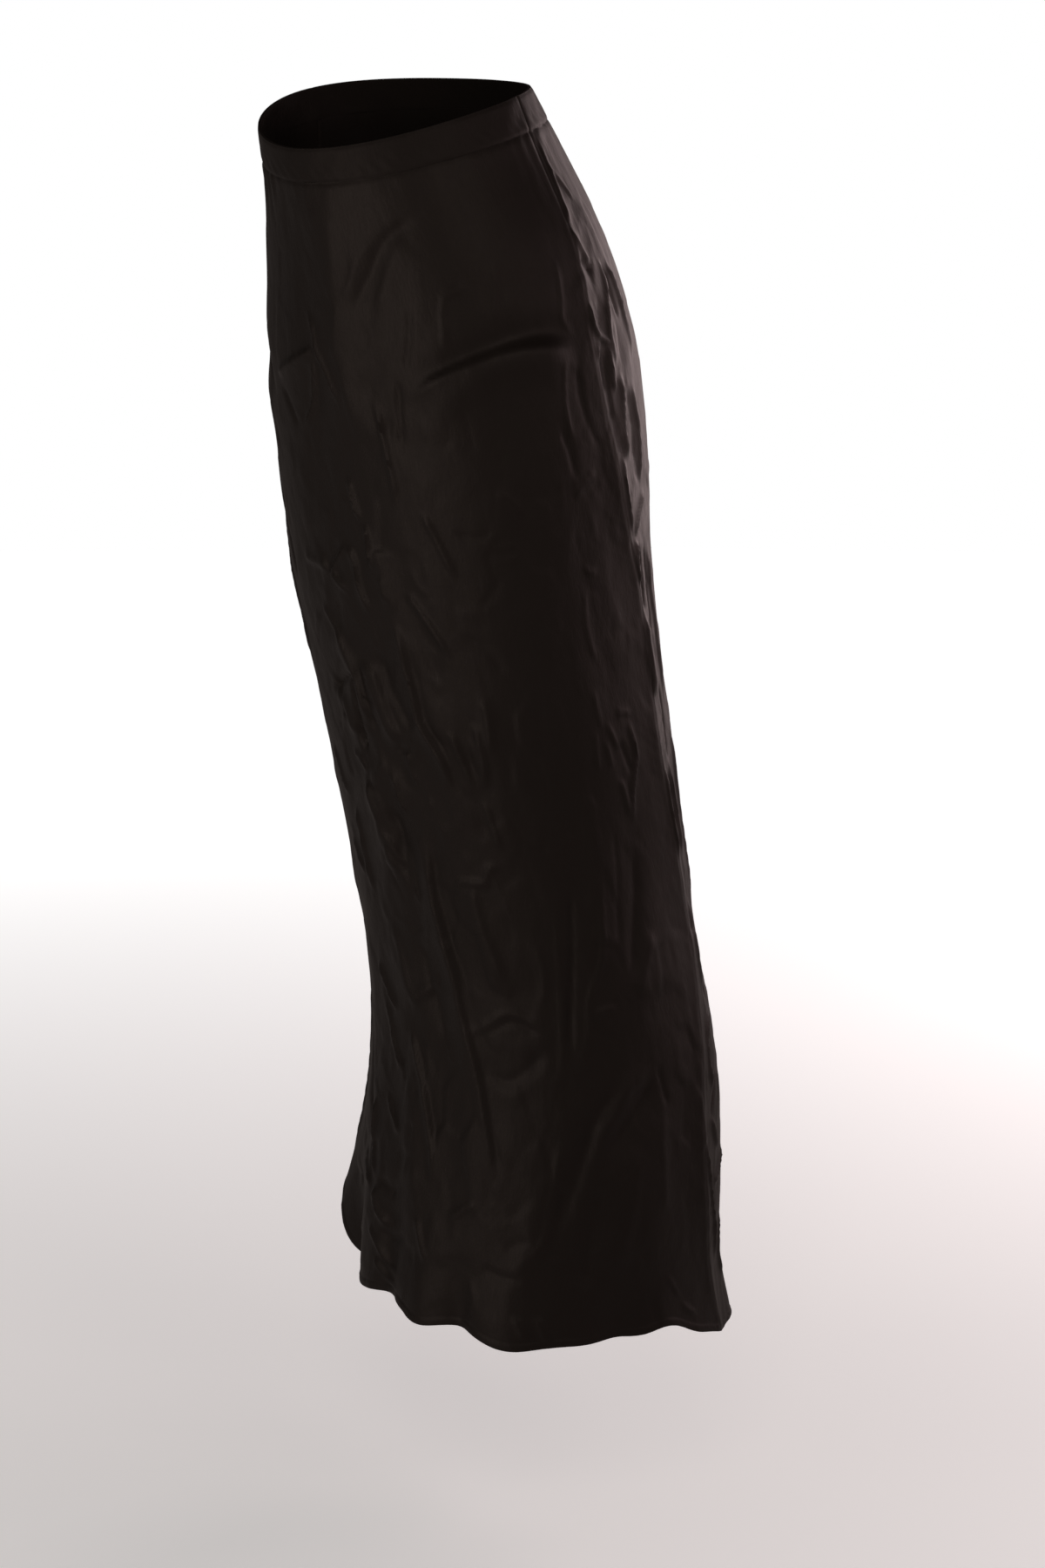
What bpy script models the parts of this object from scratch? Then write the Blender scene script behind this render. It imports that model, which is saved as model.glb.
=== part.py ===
"""A long bias-cut skirt in its worn, hollow form: two panels and a two-part waistband.

Metres, +Z up. The origin is the middle of the waist opening, level with the mean of its top edge.
The wearer faces -Y, and +X is the wearer's left. An angle runs round the body from +X (0 degrees)
through the back (+90) and the right side (180). A drop is a distance down the cloth from the top
edge of the waistband.
"""
from collections import namedtuple

import bmesh
import bpy
import numpy as np

# Driving dimensions
BAND_DEPTH = 0.025        # top edge of the waistband to its seam
HEM_DROP = 0.970          # top edge of the waistband to the hem, before the flutes lift it
HEM_TURN = 0.007          # depth of the narrow turned hem
HEM_EASE = 0.004          # stretch over which the wall thickens into the turned hem
DROP_TO_HEIGHT = 0.985    # a drop along the cloth covers this share of it in height
WALL = 0.0015             # cloth wall of the panels
HEM_WALL = 0.0023         # wall where the hem is turned up
BAND_WALL = 0.0024        # folded strip with its seam allowance
BAND_PROUD = 0.0005       # how far the band stands out from the panels
SEAM_GAP = 0.0003         # clearance between sewn pieces
ROUNDNESS = 2.15          # exponent of the cross-section: 2 is an ellipse
DEPTH_BLEND = 0.35        # how softly the front depth passes into the back depth at the sides
WAIST_ROUNDNESS = 1.90    # exponent of the cross-section at the waist
WAIST_SKEW = 0.021        # share by which the waist is pulled in along the diagonal to the back left
WAIST_ROLL = 0.074        # rise of the waistline for each metre towards the right
WAIST_LIFT = 0.011        # rise of the waistline's sides over its front and back
WAIST_REACH = 0.220       # drop at which these four have passed into the plain hips
FLUTE_REACH = 0.020       # the flutes would stand out in full this far past the hem
FOLD_RADIUS = 0.150       # radius that turns the angle across a fold into a length
FOLD_OVERRUN = 0.15       # share of a fold's length that it fades over beyond each end
FOLD_FADE = 0.40          # share of a fold's length that each end takes to fade
NORMAL_ANGLE = 0.5        # degrees to each side that a point's outward direction is taken over
NORMAL_DROP = 0.001       # the same, up and down the cloth

# How finely each piece is divided
FRONT_COLUMNS = 44
BACK_COLUMNS = 36
PANEL_ROWS = 36
BAND_COLUMNS = 36
BAND_ROWS = 2

# Cross-sections of the worn skirt, from the waist's top edge down. The centre moves back as the
# hips lean forward, and tilt is how much a section rises for each metre towards the back.
Section = namedtuple("Section", "drop centre_x centre_y half_width front_depth back_depth tilt")
SECTIONS = (
    Section(0.000, 0.000, 0.000, 0.1233, 0.0970, 0.0942, 0.31),
    Section(0.035, 0.004, 0.008, 0.1300, 0.1000, 0.1060, 0.30),
    Section(0.100, 0.011, 0.021, 0.1480, 0.1040, 0.1200, 0.27),
    Section(0.170, 0.013, 0.033, 0.1590, 0.1090, 0.1330, 0.21),
    Section(0.250, 0.015, 0.043, 0.1630, 0.1090, 0.1350, 0.15),
    Section(0.350, 0.018, 0.052, 0.1600, 0.1060, 0.1320, 0.08),
    Section(0.450, 0.027, 0.067, 0.1560, 0.1070, 0.1230, 0.03),
    Section(0.600, 0.038, 0.092, 0.1510, 0.1100, 0.1130, -0.03),
    Section(0.750, 0.050, 0.109, 0.1560, 0.1180, 0.1190, -0.08),
    Section(0.860, 0.050, 0.106, 0.1620, 0.1240, 0.1250, -0.10),
    Section(0.920, 0.047, 0.104, 0.1640, 0.1280, 0.1290, -0.12),
    Section(0.985, 0.047, 0.104, 0.1690, 0.1340, 0.1330, -0.13),
)

# The left side seam, as it wanders over the body. The right one mirrors it.
SeamPoint = namedtuple("SeamPoint", "drop angle")
SIDE_SEAM = (
    SeamPoint(0.000, 11.0),
    SeamPoint(0.100, 6.5),
    SeamPoint(0.180, 3.5),
    SeamPoint(0.290, 9.0),
    SeamPoint(0.360, 15.5),
    SeamPoint(0.500, 16.0),
    SeamPoint(0.620, 20.0),
    SeamPoint(0.730, 13.0),
    SeamPoint(0.810, 10.5),
    SeamPoint(0.880, 14.0),
    SeamPoint(0.985, 23.0),
)

# Flutes of the hem: where each stands, its half width, the drop where it starts, how far it
# swings out at the hem (inwards when negative), and how far it lowers the hem there.
Flute = namedtuple("Flute", "angle spread start out dip")
FLUTES = (
    Flute(-157.0, 14.0, 0.760, 0.029, -0.067),
    Flute(-134.0, 7.0, 0.850, -0.018, -0.004),
    Flute(-120.0, 7.0, 0.860, -0.001, 0.002),
    Flute(-104.0, 6.0, 0.840, -0.008, -0.003),
    Flute(-86.0, 8.0, 0.880, 0.007, 0.008),
    Flute(-73.0, 4.0, 0.900, -0.005, -0.001),
    Flute(-58.0, 12.0, 0.860, 0.008, 0.010),
    Flute(-24.0, 9.0, 0.880, -0.009, -0.006),
    Flute(-4.0, 13.0, 0.900, 0.003, -0.017),
    Flute(16.0, 8.0, 0.900, 0.003, -0.004),
    Flute(36.0, 9.0, 0.880, 0.011, -0.010),
    Flute(56.0, 8.0, 0.840, -0.011, -0.008),
    Flute(76.0, 10.0, 0.800, 0.016, 0.002),
    Flute(97.0, 9.0, 0.850, -0.010, -0.005),
    Flute(116.0, 9.0, 0.820, 0.014, 0.003),
    Flute(137.0, 10.0, 0.860, -0.012, -0.006),
    Flute(160.0, 9.0, 0.830, 0.010, 0.000),
    Flute(180.0, 8.0, 0.850, -0.010, -0.008),
)

# The largest folds of the cloth above the hem. Each runs from one end to the other, bowed to one
# side, with a half width, and stands out by its height (a trough when negative).
Fold = namedtuple("Fold", "angle drop end_angle end_drop bow half_width height")
FOLDS = (
    # the hip: cloth sagging over a long trough, the ridge under it, and the pulls from the waist
    Fold(-2.0, 0.135, -52.0, 0.150, 0.000, 0.020, 0.0030),
    Fold(4.0, 0.170, -62.0, 0.204, -0.026, 0.011, -0.0050),
    Fold(0.0, 0.190, -58.0, 0.222, -0.026, 0.014, 0.0040),
    Fold(-44.0, 0.055, -75.0, 0.145, -0.017, 0.010, -0.0035),
    Fold(-98.0, 0.060, -98.0, 0.240, 0.000, 0.020, -0.0030),
    Fold(-117.0, 0.184, -92.0, 0.150, 0.000, 0.010, 0.0035),
    Fold(-95.0, 0.180, -104.0, 0.275, 0.004, 0.014, -0.0045),
    # slack beside the side seam, below the hip
    Fold(-9.0, 0.270, -5.0, 0.460, 0.000, 0.018, -0.0040),
    # lengthwise folds down the thighs
    Fold(-88.0, 0.285, -63.0, 0.540, 0.003, 0.011, 0.0040),
    Fold(-76.0, 0.330, -55.0, 0.520, 0.000, 0.014, -0.0040),
    Fold(-52.0, 0.440, -52.0, 0.575, 0.000, 0.010, 0.0030),
    Fold(-96.0, 0.400, -86.0, 0.480, 0.000, 0.012, -0.0035),
    Fold(-110.0, 0.400, -100.0, 0.620, 0.004, 0.014, 0.0035),
    # knees and shins
    Fold(-27.0, 0.520, -38.0, 0.700, 0.000, 0.012, -0.0040),
    Fold(-20.0, 0.560, -24.0, 0.670, 0.000, 0.011, 0.0030),
    Fold(-4.0, 0.540, -14.0, 0.670, 0.000, 0.015, -0.0045),
    Fold(-84.0, 0.545, -68.0, 0.875, -0.005, 0.011, 0.0055),
    Fold(-93.0, 0.600, -78.0, 0.880, -0.004, 0.014, -0.0045),
    Fold(-103.0, 0.740, -91.0, 0.920, 0.000, 0.010, 0.0040),
    Fold(-74.0, 0.742, -48.0, 0.715, -0.012, 0.011, 0.0030),
    Fold(-70.0, 0.752, -52.0, 0.735, 0.000, 0.013, -0.0045),
    Fold(-112.0, 0.560, -108.0, 0.840, 0.000, 0.016, -0.0040),
    # slanting folds above the hem
    Fold(-26.0, 0.740, -48.0, 0.880, 0.000, 0.011, -0.0060),
    Fold(-19.0, 0.745, -38.0, 0.830, 0.000, 0.009, 0.0040),
    Fold(-10.0, 0.750, -34.0, 0.830, 0.000, 0.011, -0.0050),
    Fold(-49.0, 0.840, -55.0, 0.930, 0.000, 0.010, 0.0050),
    Fold(-34.0, 0.830, -36.0, 0.930, 0.000, 0.020, -0.0050),
    Fold(-13.0, 0.780, -10.0, 0.900, 0.000, 0.016, 0.0040),
    Fold(-120.0, 0.905, -96.0, 0.905, 0.004, 0.010, -0.0030),
    Fold(-127.0, 0.820, -128.0, 0.920, 0.000, 0.010, -0.0040),
    # the left side of the back panel
    Fold(27.0, 0.130, 31.0, 0.230, 0.004, 0.012, -0.0035),
    Fold(40.0, 0.305, 14.0, 0.340, 0.004, 0.012, 0.0035),
    Fold(38.0, 0.440, 28.0, 0.660, 0.010, 0.013, 0.0045),
    Fold(12.0, 0.790, 20.0, 0.940, 0.000, 0.011, 0.0035),
    # the right side and the back, which fold in the same way
    Fold(176.0, 0.172, 236.0, 0.206, 0.024, 0.012, -0.0045),
    Fold(178.0, 0.192, 232.0, 0.222, 0.024, 0.014, 0.0035),
    Fold(-160.0, 0.420, -166.0, 0.800, 0.006, 0.016, -0.0045),
    Fold(-144.0, 0.330, -138.0, 0.620, 0.004, 0.015, 0.0035),
    Fold(-146.0, 0.600, -150.0, 0.830, 0.000, 0.013, 0.0040),
    Fold(150.0, 0.260, 160.0, 0.470, 0.004, 0.016, -0.0040),
    Fold(54.0, 0.330, 62.0, 0.640, 0.000, 0.018, -0.0050),
    Fold(64.0, 0.300, 124.0, 0.345, 0.020, 0.014, -0.0050),
    Fold(70.0, 0.325, 116.0, 0.370, 0.018, 0.014, 0.0035),
    Fold(78.0, 0.480, 74.0, 0.840, 0.005, 0.016, 0.0055),
    Fold(96.0, 0.420, 102.0, 0.800, 0.000, 0.018, -0.0055),
    Fold(118.0, 0.500, 112.0, 0.860, 0.004, 0.015, 0.0050),
    Fold(136.0, 0.560, 142.0, 0.880, 0.000, 0.016, -0.0045),
    Fold(156.0, 0.560, 158.0, 0.860, 0.004, 0.015, 0.0040),
    Fold(108.0, 0.110, 84.0, 0.210, -0.012, 0.013, -0.0035),
)

# Finish of the black satin, and of the band, which is the same cloth folded
SATIN_COLOUR = (0.0125, 0.0100, 0.0092, 1.0)
BAND_COLOUR = (0.0105, 0.0088, 0.0082, 1.0)
SATIN_ROUGHNESS = 0.46
BAND_ROUGHNESS = 0.55


def smooth_step(value):
    """0 to 1 with level ends."""
    value = np.clip(value, 0.0, 1.0)
    return value * value * (3.0 - 2.0 * value)


def curve_through(table, column, drop):
    """A smooth curve through one column of a table whose rows are ordered by drop."""
    drops = np.array([row.drop for row in table])
    values = np.array([getattr(row, column) for row in table])
    lengths = np.diff(drops)
    slopes = np.diff(values) / lengths
    tangents = np.empty(len(drops))
    tangents[0] = slopes[0]
    tangents[-1] = slopes[-1]
    tangents[1:-1] = (slopes[:-1] * lengths[1:] + slopes[1:] * lengths[:-1]) / (lengths[:-1] + lengths[1:])
    index = np.clip(np.searchsorted(drops, drop, side="right") - 1, 0, len(drops) - 2)
    length = lengths[index]
    t = (drop - drops[index]) / length
    start = (2 * t**3 - 3 * t**2 + 1) * values[index]
    start_tangent = (t**3 - 2 * t**2 + t) * length * tangents[index]
    end = (3 * t**2 - 2 * t**3) * values[index + 1]
    end_tangent = (t**3 - t**2) * length * tangents[index + 1]
    return start + start_tangent + end + end_tangent


def angle_between(angle, centre):
    """Signed difference of two angles in degrees, from -180 to 180."""
    return (angle - centre + 180.0) % 360.0 - 180.0


def hem_drop(angle):
    """Drop of the hem at an angle, lowered and lifted by its flutes."""
    drop = np.full(np.shape(angle), HEM_DROP)
    for flute in FLUTES:
        drop = drop + flute.dip * np.exp(-(angle_between(angle, flute.angle) / flute.spread) ** 2)
    return drop


def flute_height(angle, drop):
    """How far the hem's flutes stand out at a point."""
    height = np.zeros(np.shape(angle))
    for flute in FLUTES:
        across = np.exp(-(angle_between(angle, flute.angle) / flute.spread) ** 2)
        down = smooth_step((drop - flute.start) / (HEM_DROP + FLUTE_REACH - flute.start))
        height = height + flute.out * across * down
    return height


def fold_height(fold, angle, drop):
    """How far one fold stands out at a point: round across, fading at both ends."""
    run = np.radians(fold.end_angle - fold.angle) * FOLD_RADIUS
    fall = fold.end_drop - fold.drop
    length = np.hypot(run, fall)
    across_x = np.radians(angle_between(angle, fold.angle)) * FOLD_RADIUS
    across_y = drop - fold.drop
    t = (across_x * run + across_y * fall) / length**2
    side = (across_x * fall - across_y * run) / length
    inside = np.clip(t, 0.0, 1.0)
    side = side - fold.bow * 4.0 * inside * (1.0 - inside)
    beyond = np.abs(t - inside) * length
    fade = smooth_step((t + FOLD_OVERRUN) / FOLD_FADE) * smooth_step((1.0 + FOLD_OVERRUN - t) / FOLD_FADE)
    return fold.height * fade * np.exp(-(side**2 + beyond**2) / fold.half_width**2)


def cloth_point(angle, drop, proud=0.0):
    """Points of the skirt's outer face, for angles in degrees and drops in metres."""
    angle, drop = np.broadcast_arrays(np.asarray(angle, float), np.asarray(drop, float))
    turn = np.radians(angle)
    cosine = np.cos(turn)
    sine = np.sin(turn)
    waist = 1.0 - smooth_step(drop / WAIST_REACH)
    power = ROUNDNESS + (WAIST_ROUNDNESS - ROUNDNESS) * waist
    reach = (np.abs(cosine) ** power + np.abs(sine) ** power) ** (-1.0 / power)
    reach = reach * (1.0 - WAIST_SKEW * waist * np.sin(2.0 * turn))
    share = 0.5 + 0.5 * np.tanh(sine / DEPTH_BLEND)
    width = curve_through(SECTIONS, "half_width", drop)
    front = curve_through(SECTIONS, "front_depth", drop)
    back = curve_through(SECTIONS, "back_depth", drop)
    depth = front * (1.0 - share) + back * share
    x = width * cosine * reach
    y = depth * sine * reach
    # outward direction of the section, in plan
    out_x = cosine / width
    out_y = sine / depth
    size = np.hypot(out_x, out_y)
    height = flute_height(angle, drop) + proud
    for fold in FOLDS:
        height = height + fold_height(fold, angle, drop)
    x = x + out_x / size * height
    y = y + out_y / size * height
    z = -DROP_TO_HEIGHT * drop + curve_through(SECTIONS, "tilt", drop) * y
    z = z + waist * (WAIST_LIFT * cosine**2 - WAIST_ROLL * x)
    x = x + curve_through(SECTIONS, "centre_x", drop)
    y = y + curve_through(SECTIONS, "centre_y", drop)
    return np.stack([x, y, z], axis=-1)


def seam_angle(drop, side):
    """Angle of a side seam: side +1 is the left one, -1 the right one."""
    left = curve_through(SIDE_SEAM, "angle", drop)
    return left if side > 0 else 180.0 - left


def panel_angles(share, drop, is_front):
    """Angles across a panel for shares 0 to 1 of its width, kept clear of its neighbour at both seams."""
    left = seam_angle(drop, 1)
    right = seam_angle(drop, -1)
    radius = curve_through(SECTIONS, "half_width", drop)
    clear = np.degrees(0.5 * SEAM_GAP / radius)
    if is_front:
        first = right - 360.0 + clear
        last = left - clear
    else:
        first = left + clear
        last = right - clear
    return first + (last - first) * share


def cloth_normal(angle, drop):
    """Outward unit normals of the skirt's outer face."""
    around = cloth_point(angle + NORMAL_ANGLE, drop) - cloth_point(angle - NORMAL_ANGLE, drop)
    down = cloth_point(angle, drop + NORMAL_DROP) - cloth_point(angle, drop - NORMAL_DROP)
    normal = np.cross(down, around)
    return normal / np.linalg.norm(normal, axis=-1, keepdims=True)


def add_wall(name, angle, drop, wall, proud, material):
    """A closed wall: a grid on the cloth's outer face, the same grid moved inwards, and a rim."""
    outer = cloth_point(angle, drop, proud)
    inner = outer - cloth_normal(angle, drop) * wall[..., None]
    mesh = bpy.data.meshes.new(name)
    shell = bmesh.new()
    rows, columns = outer.shape[:2]
    outside = [[shell.verts.new(outer[r, c]) for c in range(columns)] for r in range(rows)]
    inside = [[shell.verts.new(inner[r, c]) for c in range(columns)] for r in range(rows)]
    for r in range(rows - 1):
        for c in range(columns - 1):
            shell.faces.new((outside[r][c], outside[r + 1][c], outside[r + 1][c + 1], outside[r][c + 1]))
            shell.faces.new((inside[r][c], inside[r][c + 1], inside[r + 1][c + 1], inside[r + 1][c]))
    border = [(0, c) for c in range(columns)]
    border += [(r, columns - 1) for r in range(1, rows)]
    border += [(rows - 1, c) for c in range(columns - 2, -1, -1)]
    border += [(r, 0) for r in range(rows - 2, 0, -1)]
    for (r0, c0), (r1, c1) in zip(border, border[1:] + border[:1]):
        shell.faces.new((outside[r0][c0], outside[r1][c1], inside[r1][c1], inside[r0][c0]))
    bmesh.ops.recalc_face_normals(shell, faces=shell.faces)
    shell.to_mesh(mesh)
    shell.free()
    mesh.shade_smooth()
    mesh.set_sharp_from_angle(angle=np.radians(50.0))
    mesh.materials.append(material)
    obj = bpy.data.objects.new(name, mesh)
    bpy.context.scene.collection.objects.link(obj)
    return obj


def add_material(name, colour, roughness):
    """A woven cloth finish."""
    material = bpy.data.materials.new(name)
    material.use_nodes = True
    shader = material.node_tree.nodes["Principled BSDF"]
    shader.inputs["Base Color"].default_value = colour
    shader.inputs["Roughness"].default_value = roughness
    shader.inputs["Metallic"].default_value = 0.0
    material.diffuse_color = colour
    return material


def add_panel(name, is_front, columns, material):
    """One skirt panel, from the band's seam to the hem, with the turned hem thicker."""
    share = np.linspace(0.0, 1.0, columns + 1)
    level = np.concatenate([np.linspace(0.0, 1.0, PANEL_ROWS + 1), [1.0, 1.0]])
    turned = np.zeros(len(level))
    turned[-3:] = (HEM_TURN + HEM_EASE, HEM_TURN, 0.0)
    top = BAND_DEPTH + SEAM_GAP
    angle = np.zeros((len(level), len(share)))
    drop = np.zeros_like(angle)
    for row in range(len(level)):
        guess = np.full(len(share), top + (HEM_DROP - top) * level[row])
        for _ in range(3):
            angle[row] = panel_angles(share, guess, is_front)
            guess = top + (hem_drop(angle[row]) - top) * level[row] - turned[row]
        drop[row] = guess
    wall = np.full(angle.shape, WALL)
    wall[-2:] = HEM_WALL
    proud = 0.5 * (wall - WALL)
    add_wall(name, angle, drop, wall, proud, material)


def add_band(name, is_front, material):
    """Half of the waistband, from its top edge to the seam that holds the panel."""
    share = np.linspace(0.0, 1.0, BAND_COLUMNS + 1)
    drop = np.linspace(0.0, BAND_DEPTH, BAND_ROWS + 1)[:, None] * np.ones_like(share)
    angle = panel_angles(share[None, :], drop, is_front)
    wall = np.full(angle.shape, BAND_WALL)
    add_wall(name, angle, drop, wall, np.full(angle.shape, BAND_PROUD), material)


def build():
    """Clear the scene and make the four sewn pieces."""
    for obj in list(bpy.data.objects):
        bpy.data.objects.remove(obj, do_unlink=True)
    satin = add_material("black_satin", SATIN_COLOUR, SATIN_ROUGHNESS)
    folded_satin = add_material("black_satin_folded", BAND_COLOUR, BAND_ROUGHNESS)
    add_panel("skirt_front", True, FRONT_COLUMNS, satin)
    add_panel("skirt_back", False, BACK_COLUMNS, satin.copy())
    add_band("waistband_front", True, folded_satin)
    add_band("waistband_back", False, folded_satin.copy())


build()
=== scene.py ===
import bpy
import numpy as np
from math import cos, pi, radians, sin
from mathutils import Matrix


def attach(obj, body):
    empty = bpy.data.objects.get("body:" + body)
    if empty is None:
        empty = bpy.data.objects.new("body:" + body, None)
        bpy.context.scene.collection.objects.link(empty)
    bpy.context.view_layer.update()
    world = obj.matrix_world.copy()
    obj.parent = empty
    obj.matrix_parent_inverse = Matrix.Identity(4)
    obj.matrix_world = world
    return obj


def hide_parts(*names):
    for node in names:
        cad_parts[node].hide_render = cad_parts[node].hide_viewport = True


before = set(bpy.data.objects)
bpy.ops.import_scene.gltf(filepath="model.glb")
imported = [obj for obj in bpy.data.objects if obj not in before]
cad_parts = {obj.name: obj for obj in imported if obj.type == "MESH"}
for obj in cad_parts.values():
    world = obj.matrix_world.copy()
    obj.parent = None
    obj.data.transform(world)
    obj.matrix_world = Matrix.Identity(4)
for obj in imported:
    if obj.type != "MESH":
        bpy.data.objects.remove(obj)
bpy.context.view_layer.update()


def rowsOf(columns, rows, inMillimetres=""):
    names = columns.split()
    made = [dict(zip(names, row)) for row in rows]
    for row in made:
        for name in inMillimetres.split():
            row[name] = row[name] / 1000.0
    return made


def smoothStep(value):
    value = np.clip(value, 0.0, 1.0)
    return value * value * (3.0 - 2.0 * value)


def bell(away, width):
    return np.exp(-(away / width) ** 2)


# the worn form: the same sections, seams, flutes and folds as the solids
print("skirt form")

skirt = {
    "bandDepth": 0.025,       # waistband, top edge to seam
    "hemDrop": 0.970,         # top edge to hem before the flutes lift it
    "dropToHeight": 0.985,
    "roundness": 2.15,        # 2 is an ellipse
    "depthBlend": 0.35,
    "waistRoundness": 1.90,
    "waistSkew": 0.021,
    "waistRoll": 0.074,
    "waistLift": 0.011,
    "waistReach": 0.220,
    "seamGap": 0.00001,       # the edges all but touch, so that no light comes through
    "fluteReach": 0.020,
    "foldRadius": 0.150,      # turns an angle into a length along the cloth
    "foldOverrun": 0.15,
    "foldFade": 0.40,
    "foldShare": 0.34,        # how much of the solids' folds the soft cloth keeps
}

sections = rowsOf("drop centreX centreY halfWidth frontDepth backDepth tilt", (
    (0, 0, 0, 123.3, 97, 94.2, 0.31),
    (35, 4, 8, 130, 100, 106, 0.3),
    (100, 11, 21, 148, 104, 120, 0.27),
    (170, 13, 33, 159, 109, 133, 0.21),
    (250, 15, 43, 163, 109, 135, 0.15),
    (350, 18, 52, 160, 106, 132, 0.08),
    (450, 27, 67, 156, 107, 123, 0.03),
    (600, 38, 92, 151, 110, 113, -0.03),
    (750, 50, 109, 156, 118, 119, -0.08),
    (860, 50, 106, 162, 124, 125, -0.1),
    (920, 47, 104, 164, 128, 129, -0.12),
    (985, 47, 104, 169, 134, 133, -0.13),
), "drop centreX centreY halfWidth frontDepth backDepth")

sideSeam = rowsOf("drop angle", (
    (0.000, 11.0), (0.100, 6.5), (0.180, 3.5), (0.290, 9.0), (0.360, 15.5), (0.500, 16.0),
    (0.620, 20.0), (0.730, 13.0), (0.810, 10.5), (0.880, 14.0), (0.985, 23.0),
))

flutes = rowsOf("angle spread start out dip", (
    (-157, 14, 760, 29, -67),
    (-134, 7, 850, -18, -4),
    (-120, 7, 860, -1, 2),
    (-104, 6, 840, -8, -3),
    (-86, 8, 880, 7, 8),
    (-73, 4, 900, -5, -1),
    (-58, 12, 860, 8, 10),
    (-24, 9, 880, -9, -6),
    (-4, 13, 900, 3, -17),
    (16, 8, 900, 3, -4),
    (36, 9, 880, 11, -10),
    (56, 8, 840, -11, -8),
    (76, 10, 800, 16, 2),
    (97, 9, 850, -10, -5),
    (116, 9, 820, 14, 3),
    (137, 10, 860, -12, -6),
    (160, 9, 830, 10, 0),
    (180, 8, 850, -10, -8),
), "start out dip")

folds = rowsOf("angle drop endAngle endDrop bow halfWidth height", (
    (-2, 135, -52, 150, 0, 20, 3),            # cloth sagging over the hip
    (4, 170, -62, 204, -26, 11, -5),          # the long hip fold
    (0, 190, -58, 222, -26, 14, 4),
    (-44, 55, -75, 145, -17, 10, -3.5),       # pull from the waist
    (-98, 60, -98, 240, 0, 20, -3),
    (-117, 184, -92, 150, 0, 10, 3.5),
    (-95, 180, -104, 275, 4, 14, -4.5),
    (-9, 270, -5, 460, 0, 18, -4),
    (-88, 285, -63, 540, 3, 11, 4),           # thighs
    (-76, 330, -55, 520, 0, 14, -4),
    (-52, 440, -52, 575, 0, 10, 3),
    (-96, 400, -86, 480, 0, 12, -3.5),
    (-110, 400, -100, 620, 4, 14, 3.5),
    (-27, 520, -38, 700, 0, 12, -4),          # knees and shins
    (-20, 560, -24, 670, 0, 11, 3),
    (-4, 540, -14, 670, 0, 15, -4.5),
    (-84, 545, -68, 875, -5, 11, 5.5),
    (-93, 600, -78, 880, -4, 14, -4.5),
    (-103, 740, -91, 920, 0, 10, 4),
    (-74, 742, -48, 715, -12, 11, 3),
    (-70, 752, -52, 735, 0, 13, -4.5),
    (-112, 560, -108, 840, 0, 16, -4),
    (-26, 740, -48, 880, 0, 11, -6),          # slanting folds above the hem
    (-19, 745, -38, 830, 0, 9, 4),
    (-10, 750, -34, 830, 0, 11, -5),
    (-49, 840, -55, 930, 0, 10, 5),
    (-34, 830, -36, 930, 0, 20, -5),
    (-13, 780, -10, 900, 0, 16, 4),
    (-120, 905, -96, 905, 4, 10, -3),
    (-127, 820, -128, 920, 0, 10, -4),
    (27, 130, 31, 230, 4, 12, -3.5),          # left side of the back
    (40, 305, 14, 340, 4, 12, 3.5),
    (38, 440, 28, 660, 10, 13, 4.5),
    (12, 790, 20, 940, 0, 11, 3.5),
    (176, 172, 236, 206, 24, 12, -4.5),       # right side and back
    (178, 192, 232, 222, 24, 14, 3.5),
    (-160, 420, -166, 800, 6, 16, -4.5),
    (-144, 330, -138, 620, 4, 15, 3.5),
    (-146, 600, -150, 830, 0, 13, 4),
    (150, 260, 160, 470, 4, 16, -4),
    (54, 330, 62, 640, 0, 18, -5),
    (64, 300, 124, 345, 20, 14, -5),
    (70, 325, 116, 370, 18, 14, 3.5),
    (78, 480, 74, 840, 5, 16, 5.5),
    (96, 420, 102, 800, 0, 18, -5.5),
    (118, 500, 112, 860, 4, 15, 5),
    (136, 560, 142, 880, 0, 16, -4.5),
    (156, 560, 158, 860, 4, 15, 4),
    (108, 110, 84, 210, -12, 13, -3.5),
), "drop endDrop bow halfWidth height")


def curveThrough(table, column, drop):
    drops = np.array([row["drop"] for row in table])
    values = np.array([row[column] for row in table])
    lengths = np.diff(drops)
    slopes = np.diff(values) / lengths
    tangents = np.concatenate([slopes[:1], slopes[:1], slopes[1:]])
    tangents[1:-1] = (slopes[:-1] * lengths[1:] + slopes[1:] * lengths[:-1]) / (lengths[:-1] + lengths[1:])
    index = np.clip(np.searchsorted(drops, drop, side="right") - 1, 0, len(drops) - 2)
    length = lengths[index]
    t = (drop - drops[index]) / length
    start = (2 * t**3 - 3 * t**2 + 1) * values[index] + (t**3 - 2 * t**2 + t) * length * tangents[index]
    return start + (3 * t**2 - 2 * t**3) * values[index + 1] + (t**3 - t**2) * length * tangents[index + 1]


def angleFrom(angle, centre):
    return (angle - centre + 180.0) % 360.0 - 180.0


def hemDropAt(angle):
    drop = np.full(np.shape(angle), skirt["hemDrop"])
    for flute in flutes:
        drop = drop + flute["dip"] * bell(angleFrom(angle, flute["angle"]), flute["spread"])
    return drop


def fluteHeight(angle, drop):
    height = np.zeros(np.shape(angle))
    for flute in flutes:
        across = bell(angleFrom(angle, flute["angle"]), flute["spread"])
        reach = skirt["hemDrop"] + skirt["fluteReach"] - flute["start"]
        height = height + flute["out"] * across * smoothStep((drop - flute["start"]) / reach)
    return height


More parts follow.
